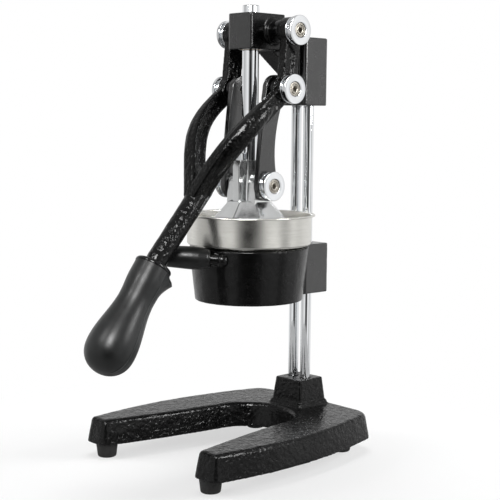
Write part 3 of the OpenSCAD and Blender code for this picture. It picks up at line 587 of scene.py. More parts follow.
# %% Covers of the lever's arms
arm_points = (Vector((38.5, 9.44, 352.53)), Vector((44.5, -39.05, 318.21)), Vector((23.2, -48.8, 302.8)),
              Vector((1.485, -67.7, 253.0)))
arm_half_w = 6.75
arm_half_d = 10.5
arm_crown = 3.0
cover_start = 0.13
cover_end = 0.93
cover_back = 1.0
cover_steps = 40
cover_sides = 24


def arm_at(t):
    a, b, c, d = arm_points
    return a * (1 - t) ** 3 + b * 3 * t * (1 - t) ** 2 + c * 3 * t * t * (1 - t) + d * t ** 3


def arm_cover(side):
    """Crowned outer half of the right arm, or of the left one where side is -1."""
    loops = []
    for i in range(cover_steps + 1):
        t = cover_start + (cover_end - cover_start) * i / cover_steps
        run = (arm_at(min(1, t + 0.02)) - arm_at(max(0, t - 0.02))).normalized()
        out = (Vector((1, 0, 0)) - run * run.x).normalized()
        front = run.cross(out)
        size = math.sin(math.pi * i / cover_steps) ** 0.35 if 0 < i < cover_steps else 0.0
        points = []
        for j in range(cover_sides):
            a = 2 * math.pi * j / cover_sides
            wide = arm_half_w + arm_crown if math.cos(a) > 0 else cover_back
            p = arm_at(t) + (out * (math.cos(a) * wide) + front * (math.sin(a) * arm_half_d)) * size
            points.append(Vector((side * p.x, p.y, p.z)))
        loops.append(points)
    return skin("arm_cover", loops, upright(), finish["rippled"])


covers = [arm_cover(1), arm_cover(-1)]
print("covers of the arms:", len(covers))

# %% [markdown]
# Where the arms close to the shaft, the metal runs together in a rounded web. It is a stack of
# ovals that leans back and shrinks as it rises into the crotch. The lever gets a finer skin than
# the base, because its inner pockets have thin rims that must stay crisp.

# %% Lever
web_z = 253.5
web_rise = 16.5
web_middle_y = -58.6
web_lean = 1.5
web_curl = 3.0
web_half_w = 7.8
web_spread = 5.0
web_half_d = 8.0
web_steps = 16


def crotch_web():
    loops = []
    for i in range(web_steps + 1):
        share = i / web_steps
        size = math.sqrt(1 - share * share)
        middle_y = web_middle_y + web_lean * share + web_curl * share * share
        middle = Vector((0, middle_y, web_z + web_rise * share))
        half_w = (web_half_w + web_spread * share) * size
        half_d = web_half_d * size
        loops.append([middle + Vector((half_w * p.x, half_d * p.y, 0)) for p in loop(1, 0, sides=32)])
    return skin("crotch_web", loops, upright(), finish["rippled"])


fit(casting("handle_fork", finish["rippled"], voxel=0.7, rounds=5, wave=0.14, extras=[*covers, crotch_web()]),
    "lever", "hammered_casting", "handle_fork")

# %% [markdown]
# The head and the cup holder are machined and filed before they are painted, so their waves are
# faint and their faces look flat.

# %% Head and cup holder
fit(casting("head_bracket", finish["head"], voxel=0.9, rounds=6, wave=0.06), "frame", "satin_casting",
    "head_bracket")
fit(casting("cup_holder", finish["holder"], voxel=0.9, rounds=4, wave=0.12), "frame", "satin_casting",
    "cup_holder")

# %% [markdown]
# ## Plates
#
# The links, and the fin and the two cheeks of the bell, are plates: an outline with a thickness
# and broken edges. A plate is a run of loops like any skin. The loops at both ends are drawn in a
# little, along a quarter circle, and that makes the rounded edge. Plates are joined and cut as
# solids. Weighted normals then keep the large faces flat to the eye.

# %% Plates and solid joins
def drawn_in(outline, inset):
    """Outline moved inwards along its own normals."""
    moved = []
    for i, point in enumerate(outline):
        before, after = Vector(outline[i - 1]), Vector(outline[(i + 1) % len(outline)])
        run = (after - before).normalized()
        moved.append(Vector(point) - Vector((run.y, -run.x)) * inset)
    return moved


def plate(name, outline, low, high, edge, material, steps=4):
    """Plate across the press from low to high, in mm. The outline holds depths and heights."""
    angles = [math.pi / 2 * (steps - i) / steps for i in range(steps + 1)]
    levels = [(low + edge * (1 - math.sin(a)), edge * (1 - math.cos(a))) for a in angles]
    levels += [(low + high - x, inset) for x, inset in reversed(levels)]
    verts, count = [], len(outline)
    for x, inset in levels:
        verts += [upright() @ Vector((x, y, z)) for y, z in drawn_in(outline, inset)]
    faces = ring_faces(len(levels), count, False)
    faces += [tuple(range(count)), tuple(reversed(range(len(verts) - count, len(verts))))]
    return mesh_object(name, verts, faces, material)


def carve(obj, parts, operation):
    """Joins parts to a solid or cuts them from it, and drops the parts."""
    for part in parts:
        step = obj.modifiers.new("step", "BOOLEAN")
        step.operation = operation
        step.solver = "EXACT"
        step.object = part
    applied_mesh(obj)
    for part in parts:
        bpy.data.objects.remove(part)
    return obj


def bore(r, length, place, sides=96):
    """Plain round cutter."""
    profile = [(0, 0), (r, 0), (r, length), (0, length)]
    return lathe("cutter", profile, place, finish["satin"], corner=0.01, sides=sides)


def settle(obj, angle=math.radians(33)):
    """Smooth shading that leaves flat faces flat."""
    obj.data.shade_smooth()
    obj.data.set_sharp_from_angle(angle=angle)
    weight = obj.modifiers.new("weight", "WEIGHTED_NORMAL")
    weight.keep_sharp = True
    return applied_mesh(obj)


# %% [markdown]
# The outline of a link is read from the flat outer face of its plain solid: the edges that only
# one of the flat triangles uses form closed loops, and the longest loop is the rim. The triangles
# are kept in a list and not in a set, so that the rim starts at the same point on each run.

# %% Rim of a flat face
def face_rim(node):
    """Depths and heights round the outer rim of a node's outermost flat face, in mm."""
    work = bmesh.new()
    work.from_mesh(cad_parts[node].data)
    bmesh.ops.remove_doubles(work, verts=work.verts, dist=0.002 * mm)
    top = max(vert.co.x for vert in work.verts)
    flat = [face for face in work.faces if all(abs(vert.co.x - top) < 0.01 * mm for vert in face.verts)]
    nexts = {}
    for face in flat:
        for rim in face.loops:
            if len([f for f in rim.edge.link_faces if f in flat]) == 1:
                nexts[rim.vert.index] = rim.link_loop_next.vert.index
    work.verts.ensure_lookup_table()
    best = []
    while nexts:
        run, at = [], next(iter(nexts))
        while at in nexts:
            run.append(work.verts[at].co.copy())
            at = nexts.pop(at)
        best = max(best, run, key=len)
    work.free()
    return [((p.y - press_y) / mm, p.z / mm) for p in best]


# %% [markdown]
# Each link has a wide hole below for its bush and a narrow one above for the crank screw. The
# left link is the right one seen in a mirror.

# %% Links
bush_bore_r = 6.05
screw_bore_r = 4.05
link_edge = 0.9
bore_over = 1


def pivot_of(node):
    """Depth and height of a pivot, and the outer face of what sits on it, in metres."""
    low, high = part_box(node)
    return (low.y + high.y) / 2, (low.z + high.z) / 2, high.x


def pin_hole(node, r, low, high):
    """Cutter for a bore across the press at a pivot."""
    y, z, x = pivot_of(node)
    return bore(r, high - low, along((low * mm, y, z), (1, 0, 0)), sides=64)


def mirrored(obj, name):
    twin = linked(name, obj.data.copy())
    twin.data.transform(Matrix.Scale(-1, 4, (1, 0, 0)))
    twin.data.flip_normals()
    return twin


def link(node):
    low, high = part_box(node)
    inner, outer = low.x / mm, high.x / mm
    piece = plate("link_right_ground", face_rim(node), inner, outer, link_edge, finish["satin"])
    holes = [pin_hole("lower_pivot_caps", bush_bore_r, inner - bore_over, outer + bore_over),
             pin_hole("crank_pivot_caps", screw_bore_r, inner - bore_over, outer + bore_over)]
    return settle(carve(piece, holes, "DIFFERENCE"))


right_link = link("link_right")
fit(mirrored(right_link, "link_left_ground"), "links", "satin_casting", "link_left")
fit(right_link, "links", "satin_casting", "link_right")

# %% [markdown]
# The bell is cast in aluminium and polished, and it shows its eight flutes as eight mirrors. A
# voxel skin would ripple them, so its cone is built from true faces: each loop has eight slightly
# hollow sides with a narrow land at each corner. The land between two flutes is the dark line that
# shows how it is made. The outside is a list of shares of the widest radius and of drops below the
# lower pivots, and the inside is a plain bowl.

# %% Cone of the bell
bell_sides = 8
bell_r = 48.0
bell_wall = 3.5
bell_drops = (14.0, 15.4, 29.2, 46.0, 53.0)
bell_shares = (0.38, 0.445, 0.73, 1.0, 1.0)
bowl_drops = (53.0, 46.0, 31.95, 23.0)
bowl_shares = (1.0, 1.0, 0.69, 0.52)
ridge_lift = 0.35
land_half = math.radians(1.9)
flute_depth_share = 0.012
flute_steps = 4
bell_pivot_z = pivot_of("lower_pivot_caps")[1] / mm


def fluted(corner_r, height):
    """Loop with eight hollow sides and a narrow land at each corner."""
    half = math.pi / bell_sides
    edge = half - land_half
    points = []
    for side in range(bell_sides):
        for step in range(-flute_steps, flute_steps + 1):
            share = step / flute_steps
            a = edge * share
            r = corner_r * math.cos(half) / math.cos(a) * (1 - flute_depth_share * (1 - share ** 2))
            turn = 2 * half * side + a
            points.append(Vector((r * math.cos(turn), r * math.sin(turn), height)))
    return points


def bell_cone():
    sides = bell_sides * (2 * flute_steps + 1)
    loops = [fluted(0, bell_pivot_z - bell_drops[0])]
    for share, drop in zip(bell_shares, bell_drops):
        for lift in ((0,) if share == 1.0 else (ridge_lift, -ridge_lift)):
            loops.append(fluted(bell_r * share - lift, bell_pivot_z - drop + lift * 0.6))
    flat_r = bell_r * math.cos(math.pi / bell_sides)
    for share, drop in zip(bowl_shares, bowl_drops):
        loops.append(loop(flat_r * share - bell_wall, bell_pivot_z - drop, sides=sides))
    loops.append(loop(0, bell_pivot_z - bowl_drops[-1], sides=sides))
    return skin("press_bell_polished", loops, upright(), finish["aluminium"])


# %% [markdown]
# A round boss carries the rod. Two cheeks, one on each side of the boss, carry the lower pivots,
# and a fin at the front takes the lock screw. The fin and the cheeks are joined to the cone as
# solids and the bores are cut. The boss stays a separate closed tube that is laid in last, because
# its bore would share faces with the cutter, and solid joins fail on shared faces.

# %% Pressing bell
rod_bore_r = 8.05
rod_bore_drop = 22
rod_cutter_len = 30
boss_r = 9.7
boss_low_z = bell_pivot_z - 18.8
boss_top_z = bell_pivot_z + 24.0
fin_foot_z = bell_pivot_z - 16
fin_top_z = boss_top_z - 0.3
fin_shoulder_z = boss_top_z - 6
fin_front_y = -18
fin_shoulder_y = -15
fin_back_y = -8.3
fin_half_w = 4.5
cheek_eye_r = 11
cheek_eye_steps = 24
cheek_foot_half_d = 12
cheek_inner_x = 8.4
cheek_outer_x = 19.6
bell_plate_edge = 0.8
lock_y = -12.6
lock_bore_r = 2.0
lock_bore_drop = 10
lock_cutter_len = 20


def bell_plates():
    fin_outline = [(fin_front_y, fin_foot_z), (fin_back_y, fin_foot_z), (fin_back_y, fin_top_z),
                   (fin_shoulder_y, fin_top_z), (fin_front_y, fin_shoulder_z)]
    eye = [math.pi * i / cheek_eye_steps for i in range(cheek_eye_steps + 1)]
    cheek_outline = [(cheek_eye_r * math.cos(a), bell_pivot_z + cheek_eye_r * math.sin(a)) for a in eye]
    cheek_outline += [(-cheek_foot_half_d, boss_low_z - 1), (cheek_foot_half_d, boss_low_z - 1)]
    spans = [(fin_outline, -fin_half_w, fin_half_w), (cheek_outline, -cheek_outer_x, -cheek_inner_x),
             (cheek_outline, cheek_inner_x, cheek_outer_x)]
    return [plate("bell_plate", outline, low, high, bell_plate_edge, finish["aluminium"])
            for outline, low, high in spans]


def press_bell():
    tube = [(rod_bore_r, boss_low_z), (boss_r, boss_low_z), (boss_r, boss_top_z), (rod_bore_r, boss_top_z)]
    boss = lathe("boss", tube, upright(), finish["aluminium"], corner=0.5, closed=True)
    rod_hole = bore(rod_bore_r, rod_cutter_len, upright(z=(boss_top_z - rod_bore_drop) * mm))
    lock_place = upright(y=press_y + lock_y * mm, z=(boss_top_z - lock_bore_drop) * mm)
    lock_hole = bore(lock_bore_r, lock_cutter_len, lock_place, sides=32)
    bell = carve(bell_cone(), bell_plates(), "UNION")
    bell = carve(bell, [rod_hole, lock_hole], "DIFFERENCE")
    return settle(merged("press_bell_polished", [bell, boss]))


fit(press_bell(), "press", "polished_aluminium", "press_bell")

# %% [markdown]
# ## Pivots
#
# Each of the six pivots ends in a chrome cap, turned from bar: a thick front flange, a deep groove
# and a thin back flange. The face is cut back round the screw, and that small shadow ring makes
# the cap read as two parts. The places come from the plain caps, whose middle is the pivot.

# %% Pivot caps
cap_t = 7.8
cap_r = (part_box("crank_pivot_caps")[1].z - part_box("crank_pivot_caps")[0].z) / 2 / mm
front_flange_t = 3.4
back_flange_t = 1.3
back_flange_r = cap_r - 0.8
groove_r = cap_r - 3
recess_r = 6.95
recess_depth = 2.6
head_r = 6.3
head_t = 3.4
pin_r = 4.0
pivots = (("top", "frame"), ("crank", "lever"), ("lower", "press"))


def both_sides(node, make):
    """Makes a turned piece on the right and on the left, with its own Z pointing outwards."""
    y, z, x = pivot_of(node)
    return [make(along((side * x, y, z), (side, 0, 0))) for side in (1, -1)]


def pivot_cap(place):
    back = [(pin_r, -cap_t), (back_flange_r, -cap_t), (back_flange_r, back_flange_t - cap_t)]
    groove = [(groove_r, back_flange_t - cap_t), (groove_r, -front_flange_t)]
    front = [(cap_r, -front_flange_t), (cap_r, 0), (recess_r, 0), (recess_r, -recess_depth)]
    seat = [(head_r + 0.05, -recess_depth), (head_r + 0.05, -head_t), (pin_r, -head_t)]
    return lathe("cap", back + groove + front + seat, place, finish["chrome"], corner=0.45, closed=True)


for level, body in pivots:
    caps = level + "_pivot_caps"
    fit(merged(caps + "_turned", both_sides(caps, pivot_cap)), body, "cap_chrome", caps)

# %% [markdown]
# The screw in each cap stands a little proud of the cap's face. Its flat head has a broken rim, a
# turned groove, a raised ring and a dish round a hexagon socket. The socket is cut by letting the
# loops change from round to six-sided.

# %% Pivot screws
screw_tips = {"top_pivot_screws": 6.0, "crank_pivot_screws": 26.8, "lower_pivot_screws": 8.5}
screw_rise = 1.1
screw_seat = -2.3
socket_r = 2.5
socket_deep = 5.0
pole_r = 0.001


def pivot_screw(node):
    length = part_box(node)[1].x / mm - screw_tips[node]
    top = screw_rise

    def make(place):
        pin = [(pole_r, -length), (pin_r, -length), (pin_r, screw_seat), (head_r, screw_seat)]
        rim = [(head_r, top - 0.4), (4.9, top - 0.3)]
        groove = [(4.8, top - 1.3), (4.3, top - 1.3)]
        ring = [(4.2, top - 0.1), (3.3, top)]
        dish = [(3.1, top - 0.5), (socket_r * 1.2, top - 0.5)]
        loops = [loop(r, h) for r, h in soften(pin + rim + groove + ring + dish, 0.12)]
        loops += [loop(socket_r, top - 0.6, 6), loop(socket_r, top - socket_deep, 6),
                  loop(pole_r, top - socket_deep)]
        return skin("screw", loops, place, finish["screw"])
    return merged(node + "_turned", both_sides(node, make))


for level, body in pivots:
    screws = level + "_pivot_screws"
    fit(pivot_screw(screws), body, "screw_head", screws)

# %% [markdown]
# Black enamelled spacer rings keep the crank and the links apart. Their broken edges make the
# bright thin arcs between the head and the upper caps.

# %% Spacers
spacer_inner_x = {"top_spacers": 19.7, "crank_spacers": 26.8}


def spacer(node):
    low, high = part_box(node)
    outer = (high.z - low.z) / 2 / mm
    t = high.x / mm - spacer_inner_x[node]
    profile = [(pin_r, -t), (outer, -t), (outer, 0), (pin_r, 0)]
    rings = both_sides(node, lambda place: lathe("spacer", profile, place, finish["gloss"], corner=0.9,
                                                 closed=True))
    return merged(node + "_turned", rings)


fit(spacer("top_spacers"), "frame", "gloss_enamel", "top_spacers")
fit(spacer("crank_spacers"), "lever", "gloss_enamel", "crank_spacers")

# %% [markdown]
# ## Bars
#
# The guide rod and the two columns are ground and chromed bar. They look like nothing but
# stripes, because a thin mirror cylinder squeezes the whole room into its width.

# %% Guide rod and columns
bar_edge = 1.2


def standing(node):
    """Placing matrix at the middle of the foot of a node's box, and the box's width and height in mm."""
    low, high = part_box(node)
    place = upright(y=(low.y + high.y) / 2, z=low.z, x=(low.x + high.x) / 2)
    return place, (high.x - low.x) / mm, (high.z - low.z) / mm


def bar(node):
    place, width, length = standing(node)
    profile = [(0, 0), (width / 2, 0), (width / 2, length), (0, length)]
    return lathe(node + "_ground", profile, place, finish["chrome"], corner=bar_edge, sides=128)


fit(bar("guide_rod"), "press", "rod_chrome", "guide_rod")
for column in ("column_left", "column_right"):
    fit(bar(column), "frame", "column_chrome", column)

# %% [markdown]
# A small hexagon screw on the bell's fin locks the rod. Its chamfer is a round loop just above the
# last six-sided one.

# %% Rod lock screw
lock_flat_r = 3.3
lock_head_h = 6.6
lock_chamfer = 0.9


def lock_screw():
    place, _, top = standing("rod_lock_screw")
    under = top - lock_head_h
    loops = [loop(pole_r, 0), loop(lock_bore_r, 0), loop(lock_bore_r, under), loop(lock_flat_r, under, 6),
             loop(lock_flat_r, top - lock_chamfer, 6), loop(lock_flat_r * 0.93, top), loop(pole_r, top)]
    return skin("rod_lock_screw_hexagon", loops, place, finish["chrome"], smooth_angle=math.radians(20))


fit(lock_screw(), "press", "fastener_steel", "rod_lock_screw")

# %% [markdown]
# ## Cup
#
# The juice funnel is one spun sheet: a rolled rim, a straight band, a step that rests on the
# holder, and a bowl that runs down to the spout. It is a lathe piece with a thick wall, so its
# profile goes down the outside and up the inside.

# %% Juice funnel
sheet_t = 1.2
rim_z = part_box("juice_funnel")[1].z / mm
spout_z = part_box("juice_funnel")[0].z / mm
band_r = 60.0
lip_r = band_r + 3.7
step_z = rim_z - 29.4
holder_fit_r = 53.95
funnel_r = 51.9
funnel_z = step_z - 14
spout_r = 10
spout_top_z = spout_z + 11
slope_shift = 0.6


def juice_funnel():
    lip = [(lip_r, rim_z - 0.9), (lip_r - 0.5, rim_z - 1.9), (lip_r - 1.2, rim_z - 1.2)]
    outside = [(band_r, rim_z - sheet_t), (band_r, step_z + 1.6), (band_r - 1.4, step_z),
               (holder_fit_r, step_z), (funnel_r, funnel_z), (spout_r, spout_top_z), (spout_r, spout_z)]
    inside = [(spout_r - sheet_t, spout_z), (spout_r - sheet_t, spout_top_z + slope_shift),
              (funnel_r - sheet_t, funnel_z + slope_shift), (holder_fit_r - sheet_t, step_z + sheet_t),
              (band_r - 2 * sheet_t, step_z + sheet_t), (band_r - sheet_t, step_z + 2 * sheet_t),
              (band_r - sheet_t, rim_z - 0.2), (lip_r - 0.6, rim_z)]
    return lathe("juice_funnel_spun", lip + outside + inside, upright(), finish["stainless"], corner=0.7,
                 sides=160, closed=True)


fit(juice_funnel(), "frame", "brushed_stainless", "juice_funnel")

# %% [markdown]
# The strainer lies in the cup: a flange, a shallow gutter and a cone with slots. It is built as a
# single sheet of faces whose slot faces are left out, and a Solidify modifier then gives the sheet
# its thickness and closes the slot walls by itself. The slots keep one width from end to end
# because each slot edge is placed by its distance from the slot's middle, not by an angle.

# %% Strainer
slot_count = 16
slot_half_w = 1.1
slot_inner_r = 20.0
slot_outer_r = 49.8
slot_fans = 5
flange_r = 57
gutter_wall_r = 51.05
gutter_depth = 6.0
cone_r = 41.0
cone_tip_r = 7.0
cone_steps = 24
strainer_wall = 1.0
wall_half = strainer_wall / 2


def strainer_profile():
    low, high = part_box("strainer")
    apex, gutter = high.z / mm, low.z / mm + wall_half
    flange = gutter + gutter_depth
    profile = [(flange_r, flange), (gutter_wall_r + 0.55, flange), (gutter_wall_r, flange - 0.6),
               (gutter_wall_r, gutter + 0.7), (gutter_wall_r - 0.65, gutter), (slot_outer_r, gutter),
               (cone_r + 3, gutter)]
    for i in range(cone_steps + 1):
        t = i / cone_steps
        r = cone_r * (1 - t) ** 2 + 2 * t * (1 - t) * 2 * cone_tip_r
        shoulder = apex - 0.9 * cone_tip_r
        z = gutter * (1 - t) ** 2 + 2 * t * (1 - t) * shoulder + (apex - wall_half) * t * t
        profile.append((r, z))
    return profile


def strainer():
    profile = strainer_profile()
    pitch = 2 * math.pi / slot_count
    verts, faces = [], []
    for r, z in profile:
        edge = math.asin(min(0.9, slot_half_w / max(r, 1.3)))
        fans = [edge + (pitch - 2 * edge) * i / (slot_fans + 1) for i in range(1, slot_fans + 1)]
        for s in range(slot_count):
            for a in (-edge, edge, *fans):
                turn = pitch * (s + 0.5) + a
                verts.append(upright() @ Vector((r * math.cos(turn), r * math.sin(turn), z)))
    sides = slot_count * (2 + slot_fans)
    for i, (inner, outer) in enumerate(zip(profile[1:], profile)):
        slotted = slot_inner_r < (inner[0] + outer[0]) / 2 < slot_outer_r
        row = [(i * sides + j, i * sides + (j + 1) % sides, (i + 1) * sides + (j + 1) % sides,
                (i + 1) * sides + j) for j in range(sides)]
        faces += [face for j, face in enumerate(row) if j % (2 + slot_fans) or not slotted]
    obj = mesh_object("strainer_pressed", verts, faces, finish["stainless"])
    wall = obj.modifiers.new("wall", "SOLIDIFY")
    wall.thickness = strainer_wall * mm
    wall.offset = 0
    applied_mesh(obj)
    obj.data.shade_smooth()
    obj.data.set_sharp_from_angle(angle=math.radians(40))
    return obj


fit(strainer(), "frame", "strainer_stainless", "strainer")

# %% [markdown]
# ## Handles
#
# The grip is moulded in two half shells, so a thin seam runs down each side. Its section is round,
# it swells towards the end, and a short beak at the back of the neck keeps the fingers from the
# cup. It is lofted from many loops, with extra points beside the seam so that the seam can be a
# real ridge. Places along the grip are shares of its length: the neck, the waist, the swell and
# the round end follow each other.

# %% Shape of the grip
bulb_r = 23.0
neck_share = 34 / 46
neck_swell = neck_share * 1.02
waist_share = neck_share * 0.96
neck_end = 0.12
waist_end = 0.3
bulb_start = 0.76
end_power = 2.4
guard_reach = 9.0
guard_peak = 0.05
guard_end = 0.21
guard_slope = 0.16
guard_fall = 1.6


def smooth(t):
    t = min(1.0, max(0.0, t))
    return t * t * (3 - 2 * t)


def blend(a, b, t):
    return a + (b - a) * t


def grip_radius(t):
    if t < neck_end:
        share = blend(neck_share, neck_swell, t / neck_end)
    elif t < waist_end:
        share = blend(neck_swell, waist_share, smooth((t - neck_end) / (waist_end - neck_end)))
    elif t < bulb_start:
        share = blend(waist_share, 1.0, smooth((t - waist_end) / (bulb_start - waist_end)))
    else:
        share = math.sqrt(max(0.0, 1 - ((t - bulb_start) / (1 - bulb_start)) ** end_power))
    return bulb_r * share


def guard_height(t):
    """How far the beak of the finger guard stands out at a place along the grip."""
    fall = min(1.0, max(0.0, (guard_end - t) / guard_slope)) ** guard_fall
    return guard_reach * smooth(t / guard_peak) * fall


print("grip radius at neck, waist and bulb:", [round(grip_radius(t), 1) for t in (0, waist_end, bulb_start)])

# %% [markdown]
# The loops lie closer together towards the round end, where the outline bends fastest. Each loop
# has even steps, with four extra points at each of the two seams.

# %% Handle grip
grip_origin = Vector((0, -116.0 * mm + press_y, 195.0 * mm))
grip_lean = math.radians(34.58)
grip_axis = Vector((0, -math.sin(grip_lean), -math.cos(grip_lean)))
grip_len = 107.0
grip_steps = 90
grip_sides = 88
collar_t = 5.0
seam_angle = math.radians(-14)
seam_sides = (seam_angle, math.pi - seam_angle)
seam_h = 0.28
seam_end = 0.985
seam_steps = (-0.035, -0.014, 0.014, 0.035)
seam_half = 0.02
seam_clear = 0.04


def angle_between(a, b):
    return abs(math.remainder(a - b, 2 * math.pi))


def grip_angles():
    seams = [seam_angle + d for d in seam_steps]
    seams += [math.pi - a for a in seams]
    even = [2 * math.pi * j / grip_sides for j in range(grip_sides)]
    kept = [a for a in even if all(angle_between(a, s) > seam_clear for s in seams)]
    return sorted(a % (2 * math.pi) for a in kept + seams)


def grip_place():
    """Z runs down the grip, X points to the right of the juicer and -Y to its back."""
    side = Vector((1, 0, 0))
    turn = Matrix((side, grip_axis.cross(side), grip_axis)).transposed().to_4x4()
    return Matrix.Translation(grip_origin) @ turn @ Matrix.Scale(mm, 4)


def grip_loop(t):
    points = []
    for a in grip_angles():
        r = max(grip_radius(t), 0.01) + guard_height(t) * max(0.0, -math.sin(a)) ** 3
        if t < seam_end and min(angle_between(a, s) for s in seam_sides) < seam_half:
            r += seam_h
        points.append(Vector((r * math.cos(a), r * math.sin(a), collar_t + t * grip_len)))
    return points


def handle_grip():
    loops = [grip_loop(math.sin(math.pi / 2 * i / grip_steps)) for i in range(grip_steps + 1)]
    loops.insert(0, [Vector((p.x * 0.4, p.y * 0.4, p.z)) for p in loops[0]])
    return skin("handle_grip_moulded", loops, grip_place(), finish["plastic"], smooth_angle=math.radians(50))


fit(handle_grip(), "lever", "grip_plastic", "handle_grip")

# %% [markdown]
# A glossy ring hides the joint between the iron shaft and the plastic. It flares from the shaft
# to a rounded rim that is a little wider than the grip's neck.

# %% Grip collar
shaft_bore_r = 9.7
collar_flare = [(13.2, 0), (16.6, 1.5)]
collar_rim = [(17.5, 3.0), (17.5, 4.6), (16.9, collar_t)]


def grip_collar():
    profile = [(shaft_bore_r, 0), *collar_flare, *collar_rim, (shaft_bore_r, collar_t)]
    return lathe("grip_collar_turned", profile, grip_place(), finish["gloss"], corner=1.2, closed=True)


fit(grip_collar(), "lever", "gloss_enamel", "grip_collar")

# %% [markdown]
# The short hold on the cup holder steadies the juicer with the other hand. It is a plain moulded
# sleeve over a cast tang, with a thick round lip at the start and a rounded end. Each pair is a
# radius and a distance from the sleeve's start. A cast swelling, in the holder's own paint, fills
# the corner where the tang leaves the wall.

# %% Brace grip and its lug
brace_turn = math.radians(-42)
brace_tilt = math.radians(4)
brace_root = Vector((16 * mm, press_y - 52.5 * mm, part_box("cup_holder")[1].z - 8.3 * mm))
brace_axis = Vector((math.sin(brace_turn) * math.cos(brace_tilt),
                     -math.cos(brace_turn) * math.cos(brace_tilt), math.sin(brace_tilt)))
brace_start = 8.5
brace_end = 63.5
brace_tip_r = 9.5
brace_tip_rise = 0.3
brace_tip_steps = 12
brace_lip = [(5.3, 1.0), (7.2, 0.0), (8.6, 0.6), (9.2, 2.0), (9.1, 3.2)]
brace_swell = [(9.6, 6.0), (10.5, 11.0), (10.8, 17.0), (10.5, 26.0), (10.0, 40.0)]
lug_swell = [(pole_r, -9.0), (3.6, -8.4), (5.8, -6.4), (6.6, -3.6), (6.6, -1.6), (6.0, 0.6), (5.0, 1.4),
             (pole_r, 1.4)]
lug_shift = Vector((0.728, -0.685, 0)) * (3.0 * mm)


def brace_grip():
    profile = [(r, brace_start + h) for r, h in brace_lip + brace_swell]
    for i in range(brace_tip_steps + 1):
        a = math.pi / 2 * i / brace_tip_steps
        h = brace_end - brace_tip_r * brace_tip_rise * (1 - math.sin(a))
        profile.append((max(brace_tip_r * math.cos(a), pole_r), h))
    return lathe("brace_grip_moulded", profile, along(brace_root, brace_axis), finish["plastic"], corner=0.7)


def brace_lug():
    place = along(brace_root + lug_shift, brace_axis)
    return lathe("brace_lug_cast", lug_swell, place, finish["holder"], corner=1.0, sides=48)


fit(brace_grip(), "frame", "grip_plastic", "brace_grip")
fit(brace_lug(), "frame", "satin_casting")

# %% [markdown]
# ## Feet and small parts
#
# Four tapered rubber feet keep the iron off the table. Each is recessed from below for its screw.
# The box round the four foot screws gives the places: the front feet stand at its corners, and the
# rear ones are closer together.

# %% Rubber feet
foot_screw_r = 4.2
foot_bore_r = 2
foot_recess_r = 4.25
foot_recess_h = 6
foot_sole_r = 9
foot_top_r = 10.5
rear_foot_x = 99.3 * 0.62 * mm


def rubber_feet():
    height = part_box("rubber_feet")[1].z / mm
    inside = [(foot_bore_r, foot_recess_h), (foot_recess_r, foot_recess_h), (foot_recess_r, 0)]
    outside = [(foot_sole_r - 1, 0), (foot_sole_r, 1), (foot_top_r, height - 0.6), (foot_top_r, height),
               (foot_bore_r, height)]
    low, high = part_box("foot_screws")
    front_y, rear_y = low.y + foot_screw_r * mm, high.y - foot_screw_r * mm
    places = [(low.x + foot_screw_r * mm, front_y), (high.x - foot_screw_r * mm, front_y),
              (-rear_foot_x, rear_y), (rear_foot_x, rear_y)]
    feet = [lathe("foot", inside + outside, upright(y=y, x=x), finish["rubber"], corner=0.8, sides=64,
                  closed=True) for x, y in places]
    return merged("rubber_feet_moulded", feet)


fit(rubber_feet(), "frame", "foot_rubber", "rubber_feet")

# %% [markdown]
# The bushes, the set screws and the foot screws are right as they are, and small or half hidden.
# They keep their own solids and only change their finish.

# %% Finish of the small solids
def dress(node, material):
    """Gives a plain solid that stays in view its finish."""
    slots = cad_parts[node].material_slots
    if len(slots) == 0:
        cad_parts[node].data.materials.append(material)
    for place in slots:
        place.material = material


bushes = ("guide_bush", "top_pivot_bushes", "link_bushes")
small_screws = ("foot_screws", "base_set_screws", "head_set_screws", "holder_set_screws")
for node in bushes:
    dress(node, finish["bronze"])
for node in small_screws:
    dress(node, finish["zinc"])
print("dressed:", bushes + small_screws)

# %% [markdown]
# ## The studio
#
# The juicer stands on a white disc in a white room. Close to the juicer the disc is partly plain
# light paint, which takes a soft shadow. Towards its rim it turns into a steady white, the same as
# the room's, so no edge shows. Mirror rays see it a little darker, as a floor under soft boxes is.

# %% Floor
floor_r = 0.37
shadow_r = 0.19
rim_share = 0.95
white_near = 0.62
glossy_floor = 0.35
glossy_share = 0.8
floor_sides = 96


def floor_finish():
    material, tree, shader = new_finish("studio_floor", Roughness=0.9, Specular_IOR_Level=0.2)
    tree.links.new(tint(tree, grain(tree, 0.4), 0.80, 0.84), shader.inputs["Base Color"])
    reach = length_of(tree, object_place(tree))
    steady = spread(tree, reach, white_near, 1.0, shadow_r, floor_r * rim_share,
                    interpolation_type="SMOOTHSTEP")
    path = add_node(tree, "ShaderNodeLightPath")
    seen = math_node(tree, "MULTIPLY", path.outputs["Is Camera Ray"], steady)
    in_mirrors = math_node(tree, "MULTIPLY", path.outputs["Is Glossy Ray"], glossy_share)
    level = math_node(tree, "MAXIMUM", path.outputs["Is Camera Ray"], glossy_floor)
    white = add_node(tree, "ShaderNodeEmission", Color=(1, 1, 1, 1), Strength=level)
    mix_shaders(tree, math_node(tree, "MAXIMUM", seen, in_mirrors), shader, white)
    return material


def add_floor():
    rim = [p * floor_r for p in loop(1, 0, sides=floor_sides)]
    floor = mesh_object("floor", rim, [tuple(range(floor_sides))], floor_finish())
    return floor


print(add_floor().name, "radius", floor_r)

# %% [markdown]
# Chrome needs something dark to mirror, or it vanishes against white. In the studio that was the
# unlit room behind the camera and the gaps between the soft boxes. Here the world does it: the
# camera sees white, mirror rays see a white room with soft dark bands and a dim ceiling, and
# everything else gets a weak grey light, so that black enamel that faces the camera stays black.
#
# A band is an angle, in degrees to the right of the camera's direction, and a brightness. A
# height is the upward part of a ray's direction, from -1 to 1, and a brightness.

